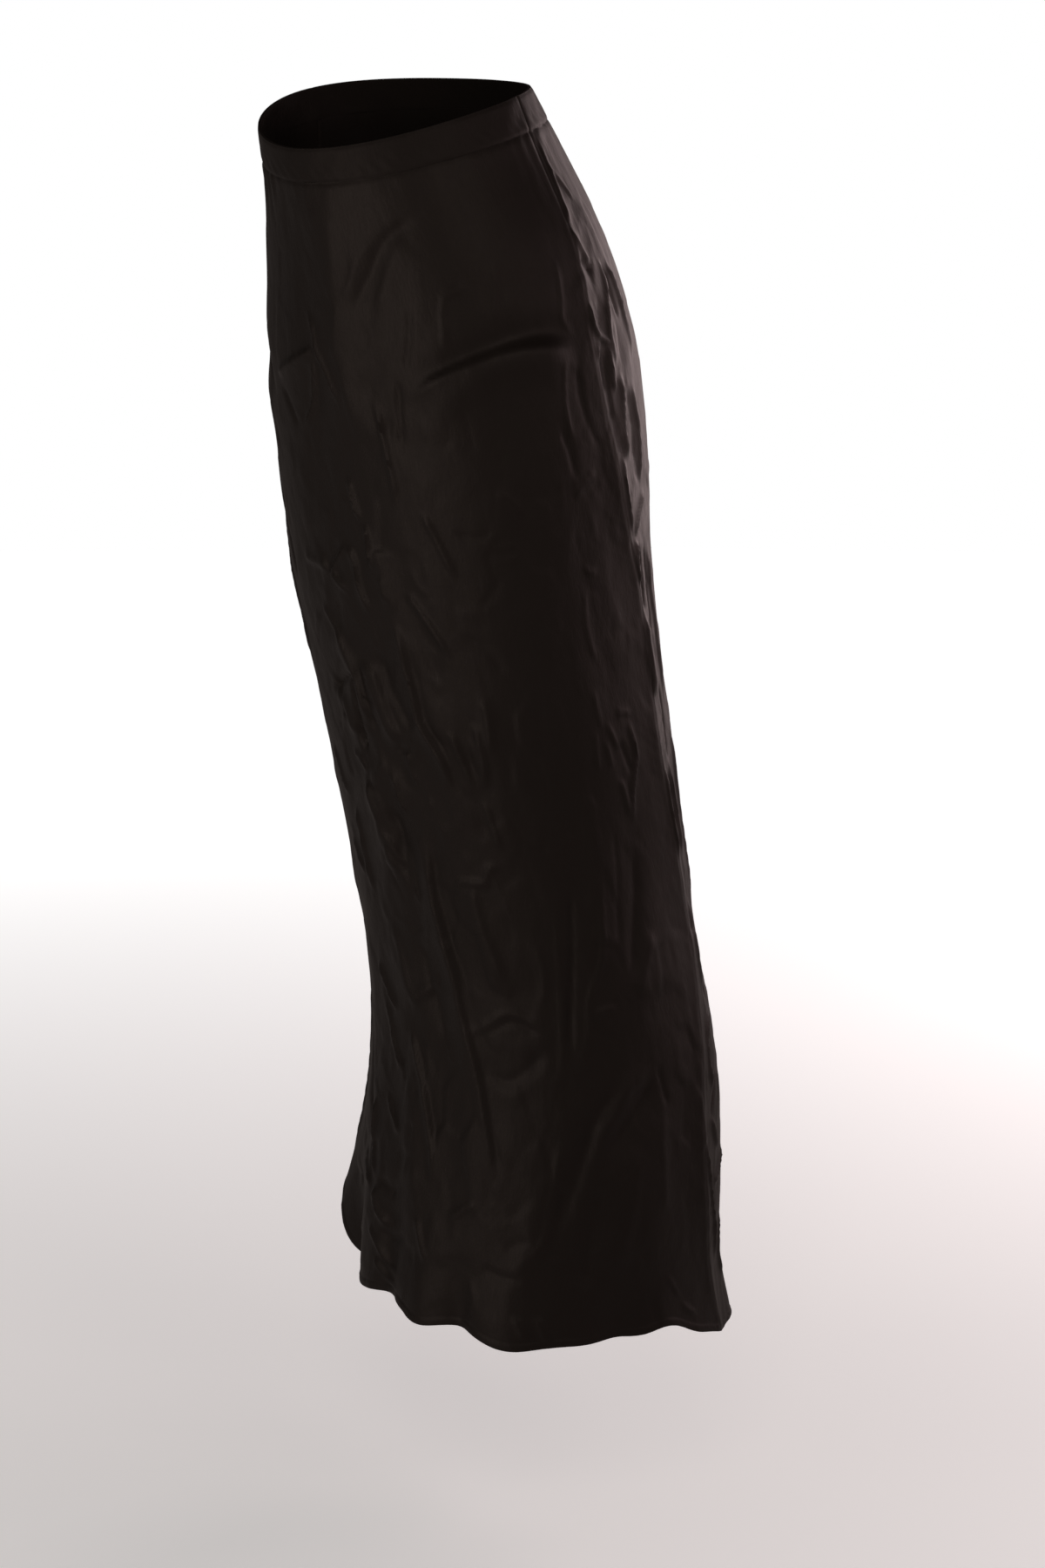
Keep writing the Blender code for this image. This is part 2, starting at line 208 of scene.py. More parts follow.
def foldHeight(fold, angle, drop):
    run = radians(fold["endAngle"] - fold["angle"]) * skirt["foldRadius"]
    fall = fold["endDrop"] - fold["drop"]
    length = np.hypot(run, fall)
    acrossX = np.radians(angleFrom(angle, fold["angle"])) * skirt["foldRadius"]
    acrossY = drop - fold["drop"]
    t = (acrossX * run + acrossY * fall) / length**2
    inside = np.clip(t, 0.0, 1.0)
    side = (acrossX * fall - acrossY * run) / length - fold["bow"] * 4.0 * inside * (1.0 - inside)
    beyond = np.abs(t - inside) * length
    start = smoothStep((t + skirt["foldOverrun"]) / skirt["foldFade"])
    end = smoothStep((1.0 + skirt["foldOverrun"] - t) / skirt["foldFade"])
    return fold["height"] * start * end * np.exp(-(side**2 + beyond**2) / fold["halfWidth"] ** 2)


def seamAngle(drop, side):
    left = curveThrough(sideSeam, "angle", drop)
    return left if side > 0 else 180.0 - left


def foldedHeight(angle, drop):
    height = fluteHeight(angle, drop)
    for fold in folds:
        height = height + skirt["foldShare"] * foldHeight(fold, angle, drop)
    return height


def clothPoint(angle, drop, height):
    turn = np.radians(angle)
    cosine = np.cos(turn)
    sine = np.sin(turn)
    waist = 1.0 - smoothStep(drop / skirt["waistReach"])
    power = skirt["roundness"] + (skirt["waistRoundness"] - skirt["roundness"]) * waist
    reach = (np.abs(cosine) ** power + np.abs(sine) ** power) ** (-1.0 / power)
    reach = reach * (1.0 - skirt["waistSkew"] * waist * np.sin(2.0 * turn))
    share = 0.5 + 0.5 * np.tanh(sine / skirt["depthBlend"])
    width = curveThrough(sections, "halfWidth", drop)
    front = curveThrough(sections, "frontDepth", drop)
    back = curveThrough(sections, "backDepth", drop)
    depth = front * (1.0 - share) + back * share
    outX = cosine / width
    outY = sine / depth
    size = np.hypot(outX, outY)
    x = width * cosine * reach + outX / size * height
    y = depth * sine * reach + outY / size * height
    z = -skirt["dropToHeight"] * drop + curveThrough(sections, "tilt", drop) * y
    z = z + waist * (skirt["waistLift"] * cosine**2 - skirt["waistRoll"] * x)
    x = x + curveThrough(sections, "centreX", drop)
    y = y + curveThrough(sections, "centreY", drop)
    return np.stack([x, y, z], axis=-1)


# creases: finer than the folds, each a path over the cloth
print("creases")

creaseStyle = {
    "radius": 0.150,          # turns an angle into a length along the cloth
    "crispness": 1.5,         # 2 is a soft wave, 1 a sharp edge
    "reach": 3.0,             # in half widths
    "stepsPerSpan": 10,
    "endFade": 0.22,
    "strength": 1.75,         # of the heights in the table
    "deeper": 0.55,           # more than that on the thighs and knees, along the right of the front
    "deeperAngle": -90.0,
    "deeperReach": 24.0,
    "deeperTo": 0.640,
    "deeperFade": 0.100,
}


def creaseRows(rows):
    # a row has two half widths and a height in millimetres, then the points of its path, each with its
    # angle in degrees and its drop in millimetres. Seen from outside, the widths are on the left and right
    # of a path that runs down the cloth, and below and above one that runs to the right. A row with a
    # height below zero is a trough.
    made = []
    for left, right, height, *path in rows:
        path = [(angle, drop / 1000.0) for angle, drop in path]
        made.append({"left": left / 1000.0, "right": right / 1000.0, "height": height / 1000.0, "path": path})
    return made


creases = creaseRows((
    # pull from the waist
    (4.2, 5.5, -0.8, (-49, 54), (-53, 62), (-59, 68), (-64, 77), (-69, 93), (-74, 109), (-78, 132)),
    (4, 9, 0.5, (-54, 70), (-60, 84), (-65, 102), (-70, 128)),
    (3, 4.5, 0.4, (-65, 66), (-73, 85), (-78, 105), (-81, 118)),
    (26, 20, 1.6, (-74, 10), (-80, 60), (-84, 100), (-86, 150), (-84, 190), (-78, 250)),
    # hooked crease on the front of the hip, and fine upright ones
    (2, 3.2, 0.8, (-38, 112), (-42, 115), (-46, 118), (-48, 128), (-49, 148), (-50, 163)),
    (1.8, 2.6, 0.6, (-27, 98), (-30, 122), (-33, 148)),
    (3, 2, -0.5, (-58, 120), (-60, 150), (-63, 178)),
    # hip fold: a soft ridge with a trough above it
    (19, 6, 2.7, (-64, 204), (-60, 195), (-55, 186), (-49, 180), (-42, 175), (-34, 171), (-24, 169),
     (-13, 172), (-3, 177)),
    (3.5, 13, -0.9, (-62, 194), (-57, 182), (-50, 173), (-42, 167), (-34, 163), (-24, 161), (-14, 163),
     (-4, 168)),
    # tent of creases at the right of the front
    (6, 2.2, 1.6, (-121, 181), (-110, 170), (-103, 163), (-96, 155)),
    (2.2, 3, 0.9, (-99, 122), (-96, 140), (-95, 155), (-92, 172), (-89, 191), (-87, 203)),
    (3.5, 2.2, 1, (-97, 160), (-98, 180), (-100, 201), (-103, 214), (-107, 228)),
    (2.2, 3.5, -0.7, (-118, 190), (-113, 208), (-109, 225)),
    # fine lines down the thigh
    (1.8, 2.6, 1.1, (-75, 195), (-74, 212), (-73, 240), (-72, 262), (-72, 288)),
    (1.8, 2.4, -0.8, (-66, 180), (-67, 213), (-68, 238)),
    (1.8, 2.6, 1.1, (-89, 262), (-88, 282), (-86, 300)),
    (1.8, 2.6, 1.2, (-84, 300), (-83.5, 318), (-83, 342)),
    (1.8, 2.6, 0.9, (-81, 345), (-80, 368)),
    # small tent on the thigh
    (4, 2, 1.1, (-92, 318), (-90, 335), (-90, 350), (-89, 364), (-87, 378)),
    (2.2, 4, 1.1, (-92, 320), (-97, 331), (-101, 344), (-99, 353), (-94, 364)),
    (2.5, 7, 1, (-118, 336), (-108, 341), (-102, 342)),
    (2.2, 3.5, 0.7, (-112, 372), (-106, 392), (-102, 410)),
    # slanting creases across the front
    (1.8, 2.6, 1.1, (-64, 288), (-61, 305), (-58, 325), (-55, 345)),
    (1.8, 3, 1.4, (-74, 358), (-71, 363), (-67, 379), (-64, 393), (-61, 409)),
    (2.2, 3, 0.6, (-40, 276), (-37, 280), (-34, 287), (-32, 297)),
    (2.2, 2.2, -0.6, (-54, 306), (-50, 311), (-45, 311), (-42, 303)),
    (1.6, 1.6, 0.5, (-45, 318), (-40, 321), (-34, 318)),
    (1.6, 1.6, 0.5, (-43, 329), (-38, 331), (-33, 328)),
    (3, 2, -0.5, (-49, 372), (-44, 355), (-40, 345)),
    (6, 3, 0.3, (-57, 373), (-50, 371), (-44, 366)),
    (6, 4, -0.6, (-57, 391), (-51, 397), (-47, 406), (-44, 424)),
    (1.8, 1.8, 0.4, (-69, 336), (-68, 350), (-64, 360)),
    # the long crease from the thigh over the knee
    (6, 2.2, 1.5, (-79, 375), (-77, 400), (-77, 420), (-76, 442), (-76, 462), (-74, 474), (-71, 490),
     (-69, 503), (-68, 526)),
    (2.2, 5, -0.5, (-75, 395), (-74, 430), (-73, 465), (-69, 485), (-66, 510), (-64, 530)),
    (2.5, 2.2, 1.2, (-65, 468), (-64, 484), (-62, 502), (-61, 516)),
    (3, 3.5, 1.4, (-57, 460), (-56, 482), (-56, 502), (-58, 518)),
    (1.8, 2.2, 0.6, (-59, 472), (-58, 490), (-57, 505)),
    (2.2, 3.2, 1, (-53, 440), (-52, 462), (-53, 490)),
    (2.2, 3.2, 1, (-58, 525), (-57, 540), (-56, 553), (-55, 568)),
    (2.5, 2.2, 0.9, (-73, 612), (-71, 598), (-66, 596), (-62, 595), (-60, 584), (-55, 577)),
    (2.5, 1.8, -0.8, (-45, 562), (-42, 564), (-39, 562)),
    (2, 2.2, 0.6, (-48, 640), (-47, 670), (-49, 695)),
    # lifted facets at the right of the front
    (8, 6, 1.6, (-94, 412), (-93, 440), (-90, 470), (-86, 492)),
    (4.5, 2.2, 0.9, (-92, 416), (-89, 454), (-87, 471), (-84, 484)),
    (2.2, 3, -1.1, (-98, 418), (-97, 449), (-95, 480)),
    (2.2, 3, -1.7, (-100, 428), (-102, 460), (-103, 482), (-101, 502)),
    (4, 2.2, -1.4, (-116, 450), (-107, 437), (-99, 430)),
    (8, 4, 1.2, (-111, 448), (-108, 465), (-106, 486)),
    (2.2, 3, 1, (-111, 500), (-106, 506), (-103, 517)),
    (2, 2.8, 0.9, (-83, 490), (-83, 506), (-82, 520)),
    (2.2, 2.2, -0.6, (-79, 474), (-82, 488), (-89, 492)),
    (2.2, 3.2, 1, (-91, 512), (-90, 532), (-89, 548)),
    (1.8, 2.6, 0.9, (-99, 565), (-96, 581), (-93, 593)),
    (3.5, 2.2, 1.2, (-118, 548), (-117, 580), (-116, 606), (-114, 626)),
    (2.5, 3, 1.1, (-130, 500), (-126, 520), (-122, 545)),
    (2.2, 2.2, 0.9, (-127, 580), (-123, 595), (-119, 612)),
    (2, 3, 0.8, (-92, 575), (-91, 600), (-89, 625)),
    # the longest crease, knee to hem
    (7, 2, 1.3, (-83, 549), (-81, 560), (-82, 588), (-82, 612), (-81, 631), (-80, 646), (-78, 676),
     (-77, 703), (-75, 727), (-72, 757), (-69, 795), (-67, 818), (-66, 838), (-65, 862)),
    (2.2, 5, -0.4, (-81, 560), (-80, 590), (-80, 612), (-78, 650), (-75, 680), (-73, 715)),
    (2.5, 6, 1, (-99, 712), (-92, 700), (-84, 684)),
    (2, 2, 0.6, (-84, 738), (-82, 756)),
    # broad facets between the long creases
    (12, 5, 1.4, (-106, 392), (-101, 420), (-98, 452), (-96, 474)),
    (5, 11, -1.3, (-88, 404), (-86, 436), (-82, 460), (-78, 476)),
    (11, 4.5, 1.3, (-104, 520), (-101, 552), (-99, 580), (-96, 604)),
    (5, 10, -1.2, (-95, 536), (-93, 568), (-91, 600), (-88, 622)),
    (11, 5, 1.2, (-106, 640), (-102, 672), (-99, 700), (-96, 722)),
    (5, 11, -1.1, (-92, 650), (-90, 684), (-87, 716), (-84, 744)),
    (10, 5, 1.2, (-66, 590), (-66, 622), (-63, 655), (-60, 684)),
    # dented facet above the hem
    (2.2, 2.2, 0.8, (-76, 728), (-68, 716), (-61, 704), (-55, 706), (-49, 716)),
    (2.2, 2.2, -0.7, (-68, 723), (-61, 711), (-55, 713), (-50, 721)),
    (4.5, 4, -0.8, (-70, 756), (-62, 760), (-55, 745), (-49, 726)),
    (7, 4, 0.4, (-67, 768), (-60, 771), (-53, 756), (-46, 732)),
    # upright folds from the knee to the slanting folds
    (2.2, 3, 1, (-21, 580), (-23, 608), (-25, 642), (-28, 662), (-33, 685), (-35, 715), (-39, 742)),
    (3, 3.5, -1.4, (-33, 585), (-36, 640), (-39, 680), (-41, 715), (-41, 748)),
    (2.2, 2.2, 0.6, (-38, 590), (-41, 650), (-43, 700), (-45, 750), (-45, 790)),
    (3.5, 5.5, 1.1, (-45, 795), (-46, 830), (-47, 855), (-48, 884), (-51, 899), (-56, 914)),
    (9, 7, 1.3, (-2, 632), (-6, 648), (-10, 665), (-14, 684)),
    (2.5, 1.8, 1, (-33, 700), (-28, 694), (-23, 692)),
    (4, 6, -1.2, (-4, 560), (-7, 600), (-12, 640), (-17, 675)),
    (2.2, 2.5, -0.5, (-13, 545), (-14, 580), (-17, 620), (-19, 650)),
    # slanting folds above the hem
    (8, 8, 1, (-12, 740), (-17, 750), (-22, 758), (-27, 773), (-31, 788), (-34, 804)),
    (8, 4.5, -1.2, (-11, 745), (-17, 766), (-22, 783), (-27, 798), (-32, 815)),
    (9, 7, -1.4, (-24, 752), (-29, 768), (-35, 788), (-39, 818), (-42, 850), (-44, 885)),
    (6, 6, 0.9, (-8, 775), (-9, 800), (-8, 830), (-7, 865)),
    # broad soft folds just above the hem
    (14, 9, 1.4, (-18, 800), (-20, 835), (-22, 870), (-26, 900)),
    (10, 13, -1.4, (-30, 830), (-33, 862), (-35, 895), (-36, 925)),
    (9, 12, 0.9, (-44, 880), (-36, 893), (-26, 896), (-16, 888)),
    # short creases at the ends of those folds
    (2.2, 2.2, -0.9, (-10, 738), (-8, 757), (-6, 775)),
    (4, 3, -0.6, (-50, 897), (-40, 893), (-30, 887)),
    (1.6, 2, 0.7, (-5, 912), (-2, 921), (1, 931)),
    (1.6, 2.2, 1, (2, 938), (6, 944), (9, 947)),
    # right front, down to the hem
    (2.2, 3, 1.3, (-119, 684), (-113, 708), (-107, 726)),
    (3, 2.2, 1.2, (-116, 715), (-113, 732), (-110, 756), (-105, 775)),
    (4, 2.2, 1.7, (-101, 730), (-97, 755), (-93, 784), (-90, 815), (-88, 840), (-87, 862)),
    (2.2, 5, -0.6, (-99, 735), (-95, 765), (-91, 795), (-87, 830)),
    (3, 2.2, 1.3, (-91, 890), (-89, 905), (-85, 927)),
    (3, 2.2, 1.3, (-114, 795), (-110, 812), (-104, 830)),
    (2.2, 2.8, 1.4, (-121, 800), (-121, 840), (-118, 866), (-114, 874)),
    (2, 2.2, 1.1, (-129, 855), (-124, 870), (-119, 884)),
    (5, 5, -1.1, (-114, 872), (-108, 876), (-103, 880)),
    (2.2, 5, 1.6, (-115, 878), (-114, 895), (-110, 906), (-105, 911)),
    (2.2, 2.8, 1.2, (-117, 915), (-112, 928), (-106, 942)),
    (1.8, 2.2, 1.1, (-113, 940), (-106, 955), (-98, 960)),
    (1.8, 2.2, 0.9, (-110, 936), (-104, 946), (-99, 949)),
    (5, 2.2, -1, (-112, 915), (-104, 918), (-95, 910)),
    (2.2, 3, 1, (-79, 884), (-74, 872), (-70, 866)),
    (5, 3, -0.8, (-67, 916), (-60, 921), (-52, 920)),
    (3, 5, -0.6, (-60, 899), (-56, 892), (-52, 888)),
    (3, 3, 1.2, (-55, 950), (-53, 961), (-52, 970)),
    (3, 3, 1.2, (-49, 948), (-47, 960), (-46, 970)),
    (3, 3, 0.9, (-70, 932), (-68, 945), (-69, 957)),
    # puckers on the front side of the seam, hip to knee
    (1.8, 2.6, 0.8, (-4, 110), (-5, 125), (-6, 140), (-7, 154), (-3, 168)),
    (1.8, 2.6, 0.9, (-9, 178), (-11, 198), (-12, 222), (-10, 246)),
    (3, 3, -0.7, (-3, 180), (-5, 205), (-3, 232), (2, 258)),
    (2.2, 4, -0.9, (-15, 232), (-12, 255), (-10, 276)),
    (3, 2.2, 0.9, (-12, 287), (-7, 278), (-1, 270)),
    (1.6, 2.2, 0.9, (-9, 342), (-6, 347), (-3, 345)),
    (2.2, 3, 0.6, (-9, 355), (-11, 385), (-9, 420)),
    (1.8, 2.6, 0.6, (-13, 436), (-12.5, 450), (-12, 467)),
    (1.8, 2.6, 0.7, (-15, 468), (-15.5, 484), (-16, 502)),
    (1.8, 2.6, 0.7, (-11, 478), (-10, 488), (-9.5, 500)),
    (2, 2.4, 0.9, (-9, 464), (-7, 474), (-5, 486)),
    (1.8, 2.2, 0.8, (-4, 459), (0, 457), (4, 459)),
    (2.5, 2.5, 1.4, (1.5, 460), (3, 478), (3.5, 492), (1, 508), (-1.5, 525), (-3, 547)),
    (2, 2.4, -0.9, (-4, 478), (-2, 492), (0, 507)),
    (3, 2.5, 1.1, (-6, 508), (-5, 522), (-4, 540)),
    # the back panel beside the seam: lifted facets that catch the light
    (2, 3, 1, (13, 30), (11.5, 55), (10, 75), (8.5, 94)),
    (1.8, 2.6, 0.9, (11, 50), (15, 63), (19, 80)),
    (2.5, 3, 1.3, (7, 94), (9, 106), (13, 124)),
    (4, 4, -1.2, (7, 116), (9, 122), (12, 128)),
    (2.2, 4, 1.7, (5.5, 146), (5, 160), (7, 171), (10, 177), (15, 185)),
    (2.2, 3, 1.1, (8, 176), (6, 182), (5, 190)),
    (2.5, 3, 1.4, (19, 120), (19, 140), (17, 152), (15, 165), (14, 180), (15, 202)),
    (2.2, 2.2, -1, (20, 124), (21, 145), (22, 170)),
    (2.5, 3, 1.3, (24, 122), (26, 150), (28, 175), (29, 202)),
    (3, 3, 1.7, (12, 181), (11.5, 200), (11, 218)),
    (6, 5, -0.6, (7, 186), (8, 200), (7, 216)),
    (4.5, 3, 1.9, (17, 203), (15, 230), (14, 252), (16, 270)),
    (3, 3.5, -0.6, (20, 213), (21, 245), (20, 277)),
    (3, 3, 1.3, (24, 213), (25, 250), (24, 292)),
    (2, 3, 1.5, (11, 262), (11.5, 285), (13, 305), (15, 326)),
    (3, 3, 1.5, (28, 296), (22, 310), (16, 326)),
    (3, 2.5, 1.5, (17, 328), (16.5, 345), (17, 364)),
    (2.2, 2.2, -1.3, (19, 332), (19, 350), (19, 372), (18, 387)),
    (4, 4, 1.5, (18, 385), (17.5, 405), (18, 425), (19, 450)),
    (2.5, 3, -1.2, (24, 330), (25, 370), (24, 410)),
    (2.5, 3, 1.4, (28, 330), (29, 370), (30, 420), (31, 460)),
    (2.2, 2.8, -1.2, (25, 440), (26, 470), (24, 505)),
    (3, 3.5, 1.5, (18, 500), (18.5, 530), (19, 555), (21, 582)),
    (2.2, 3, 1.5, (25, 500), (26, 525), (27, 552), (28, 584)),
    (5, 4, -1.5, (22, 510), (22.5, 535), (24, 560)),
    (2.5, 3, 1.2, (34, 470), (36, 520), (36, 570), (34, 620)),
    (3, 2.5, 1.3, (26, 610), (25, 650), (24, 690)),
    (2.2, 2.5, -1.2, (30, 630), (27, 665), (26, 700)),
    (3, 2.5, 1.4, (27, 700), (20, 730), (22, 772)),
    (2.5, 2.5, -1.4, (33, 742), (25, 760), (19, 792)),
    (2.2, 3, 1.7, (12, 798), (13, 815), (15, 836), (18, 856), (21, 880), (24, 915)),
    (2.2, 2.8, 1.3, (20, 790), (23, 803), (27, 818)),
    (3, 2.5, 1.3, (36, 820), (28, 838), (22, 846)),
    (2.5, 2.5, 1.2, (32, 870), (30, 900), (33, 930)),
    # back and right side, creased in the same way
    (3.5, 11, -1.6, (62, 302), (76, 322), (94, 330), (110, 336), (126, 344)),
    (2.5, 4.5, 0.9, (58, 180), (66, 215), (70, 262)),
    (5, 2.5, 1, (118, 150), (110, 190), (108, 235)),
    (3, 6, -1.1, (84, 50), (80, 85), (72, 120), (70, 160)),
    (6, 3, -1.1, (104, 48), (110, 90), (122, 130)),
    (4.5, 2.2, 1.2, (72, 400), (76, 470), (78, 545), (75, 620)),
    (2.2, 5, -1, (86, 380), (90, 450), (88, 530)),
    (5, 2.5, 1.4, (100, 400), (104, 480), (106, 560), (102, 650), (104, 740)),
    (2.5, 5.5, 1.1, (124, 430), (120, 500), (116, 580), (118, 660)),
    (3, 3, -0.9, (60, 560), (66, 610), (64, 680)),
    (6, 3, -1.5, (86, 640), (82, 720), (88, 800), (94, 880)),
    (3, 5, 1.2, (126, 640), (130, 720), (126, 800), (122, 880)),
    (3, 2.5, 1, (50, 660), (56, 730), (54, 800)),
    (3.5, 2.5, 0.9, (60, 760), (72, 772), (82, 762)),
    (2.5, 4.5, -0.9, (106, 700), (114, 716), (124, 706)),
    (4, 2.2, 1, (142, 300), (146, 370), (144, 440)),
    (2.2, 4.5, -0.9, (152, 480), (148, 560), (150, 640)),
    (4, 11, -1.6, (176, 172), (188, 160), (206, 157), (222, 170), (236, 204)),
    (3, 4.5, 0.9, (196, 60), (190, 95), (188, 140)),
    (3, 2.5, 0.8, (168, 200), (174, 232), (180, 252)),
    (3, 3, -0.8, (166, 262), (176, 282), (184, 276)),
    (4.5, 2.5, 1.1, (206, 230), (212, 300), (222, 380), (228, 450)),
    (2.5, 5, -1, (216, 220), (224, 300), (232, 370)),
    (5, 2.5, 1.2, (196, 420), (200, 500), (206, 590), (204, 680)),
    (2.5, 4.5, 1, (222, 500), (218, 580), (222, 660)),
    (3, 6, -1.4, (186, 560), (184, 640), (190, 730), (188, 810)),
    (3, 3, 0.9, (170, 640), (176, 690), (172, 750)),
    (4, 2.5, 1.1, (212, 700), (216, 760), (212, 830), (206, 880)),
    (3, 2.5, -0.9, (224, 720), (232, 780), (234, 840)),
))


def smoothPath(points, steps):
    points = np.array(points, float)
    points[:, 0] = np.radians(points[:, 0]) * creaseStyle["radius"]
    padded = np.vstack([2 * points[0] - points[1], points, 2 * points[-1] - points[-2]])
    t = np.linspace(0.0, 1.0, steps, endpoint=False)[:, None]
    spans = []
    for a, b, c, d in zip(padded, padded[1:], padded[2:], padded[3:]):
        spans.append(b + 0.5 * t * (c - a + t * (2 * a - 5 * b + 4 * c - d + t * (3 * b - a - 3 * c + d))))
    return np.vstack(spans + [points[-1:]])


def deeperAt(path):
    middle = np.degrees(path[:, 0].mean() / creaseStyle["radius"])
    extra = bell(angleFrom(middle, creaseStyle["deeperAngle"]), creaseStyle["deeperReach"])
    below = path[:, 1].mean() - creaseStyle["deeperTo"]
    return 1.0 + creaseStyle["deeper"] * extra * smoothStep(1.0 - below / creaseStyle["deeperFade"])


def addCrease(height, across, down, crease):
    # adds one crease to the heights of the cloth points near it
    path = smoothPath(crease["path"], creaseStyle["stepsPerSpan"])
    reach = creaseStyle["reach"] * max(crease["left"], crease["right"])
    turn = 2.0 * pi * creaseStyle["radius"]
    shift = np.round((path[:, 0].mean() - across) / turn) * turn
    across = across + shift
    low = path.min(axis=0) - reach
    high = path.max(axis=0) + reach
    inside = (across > low[0]) & (across < high[0]) & (down > low[1]) & (down < high[1])
    near = np.nonzero(inside)[0]
    if len(near) == 0:
        return
    x = across[near]
    y = down[near]
    lengths = np.linalg.norm(np.diff(path, axis=0), axis=1)
    before = np.concatenate([[0.0], np.cumsum(lengths)])
    nearest = np.full(len(near), np.inf)
    side = np.zeros(len(near))
    along = np.zeros(len(near))
    for index in range(len(lengths)):
        start = path[index]
        direction = (path[index + 1] - start) / lengths[index]
        t = np.clip((x - start[0]) * direction[0] + (y - start[1]) * direction[1], 0.0, lengths[index])
        dx = x - start[0] - t * direction[0]
        dy = y - start[1] - t * direction[1]
        distance = np.hypot(dx, dy)
        closer = distance < nearest
        nearest[closer] = distance[closer]
        side[closer] = (dx * direction[1] - dy * direction[0])[closer]
        along[closer] = (before[index] + t)[closer]
    along = along / before[-1]
    width = np.where(side > 0, crease["right"], crease["left"])
    fade = smoothStep(along / creaseStyle["endFade"]) * smoothStep((1.0 - along) / creaseStyle["endFade"])
    tall = creaseStyle["strength"] * deeperAt(path) * crease["height"]
    height[near] += tall * fade * np.exp(-(nearest / width) ** creaseStyle["crispness"])


# crumple: small flat facets that meet in short creases, stronger in some places
crumple = {
    "seed": 7,
    "base": 0.42,
    "scales": rowsOf("cellsAround cellDepth tilt sharpness", (
        (17, 0.085, 0.036, 9.0),
        (38, 0.040, 0.056, 15.0),
        (84, 0.019, 0.040, 13.0),
    )),
    "cellJitter": (0.1, 0.9),
    "rowLean": 0.35,
    "downTilt": 0.4,
    "strayCreases": 320,
    "strayDrop": (0.06, 0.95),
    "strayLength": (0.012, 0.055),
    "strayLean": (0.12, 0.45),         # mean and spread, in radians from straight down
    "strayBend": 0.15,
    "strayWidth": (0.0018, 0.0042),
    "straySteep": (0.5, 1.0),          # right half width, as a share of the left one
    "strayHeight": (0.0001, 0.0006),
    "least": 0.1,
    "most": 1.6,
}

crumplePlaces = rowsOf("angle drop reachAngle reachDrop amount", (
    (-40, 70, 40, 60, -0.35),           # smooth under the band
    (12, 220, 14, 120, 0.3),            # seam over the hip
    (30, 200, 22, 120, 0.35),
    (-10, 490, 11, 100, -0.25),         # front side of the seam over the knee
    (-95, 400, 28, 100, 0.5),
    (-88, 520, 26, 90, 0.55),
    (-92, 700, 26, 120, 0.4),
    (-115, 870, 25, 90, 0.45),
    (-72, 880, 20, 60, 0.3),
    (18, 780, 14, 110, 0.3),
    (-48, 320, 22, 110, -0.15),
    (-30, 640, 16, 120, 0.3),
    (92, 300, 34, 80, 0.5),
    (100, 720, 34, 120, 0.4),
    (172, 230, 20, 110, 0.6),
    (176, 500, 20, 90, 0.5),
), "drop reachDrop")


def crumpleAmount(angle, drop):
    amount = np.full(np.shape(angle), crumple["base"])
    for place in crumplePlaces:
        away = (angleFrom(angle, place["angle"]) / place["reachAngle"]) ** 2
        away = away + ((drop - place["drop"]) / place["reachDrop"]) ** 2
        amount = amount + place["amount"] * np.exp(-away)
    return np.clip(amount, crumple["least"], crumple["most"])


def facetHeight(angle, drop, scale, randoms):
    # every cell is a tilted flat patch; neighbouring patches are blended where they meet
    around = scale["cellsAround"]
    cellWidth = 2.0 * pi * creaseStyle["radius"] / around
    u = (angle % 360.0) / 360.0 * around
    v = drop / scale["cellDepth"] + 2.0
    rows = int(1.2 / scale["cellDepth"]) + 6
    jitter = randoms.uniform(*crumple["cellJitter"], (rows, around, 2))
    tilts = randoms.normal(0.0, scale["tilt"], (rows, around, 2))
    lean = randoms.uniform(-crumple["rowLean"], crumple["rowLean"], rows)
    u0 = np.floor(u).astype(int)
    v0 = np.floor(v).astype(int)
    total = np.zeros(np.shape(u))
    weights = np.zeros(np.shape(u))
    for dv in (-1, 0, 1):
        for du in (-1, 0, 1):
            row = np.clip(v0 + dv, 0, rows - 1)
            column = (u0 + du) % around
            cellU = u0 + du + jitter[row, column, 0] + lean[row]
            cellV = v0 + dv + jitter[row, column, 1]
            x = u - cellU
            y = v - cellV
            weight = np.exp(-scale["sharpness"] * (x * x + y * y))
            plane = tilts[row, column, 0] * x * cellWidth
            plane = plane + crumple["downTilt"] * tilts[row, column, 1] * y * scale["cellDepth"]
            total = total + weight * plane
            weights = weights + weight
    return total / np.maximum(weights, 1e-9)


def strayCreases(randoms):
    # short random creases, mostly lengthwise
    made = []
    for _ in range(crumple["strayCreases"]):
        angle = randoms.uniform(-180.0, 180.0)
        drop = randoms.uniform(*crumple["strayDrop"])
        length = randoms.uniform(*crumple["strayLength"])
        lean = randoms.normal(*crumple["strayLean"])
        bend = randoms.uniform(-crumple["strayBend"], crumple["strayBend"]) * length
        width = randoms.uniform(*crumple["strayWidth"])
        steep = randoms.uniform(*crumple["straySteep"])
        height = randoms.uniform(*crumple["strayHeight"]) * randoms.choice((-1.0, 1.0))
        run = np.degrees(sin(lean) * length / creaseStyle["radius"])
        fall = cos(lean) * length
        mid = (angle + 0.5 * run + np.degrees(bend / creaseStyle["radius"]), drop + 0.5 * fall)
        height = height * float(crumpleAmount(np.array(angle), np.array(drop)))
        made.append({"path": ((angle, drop), mid, (angle + run, drop + fall)), "left": width,
                     "right": width * steep, "height": height})
    return made


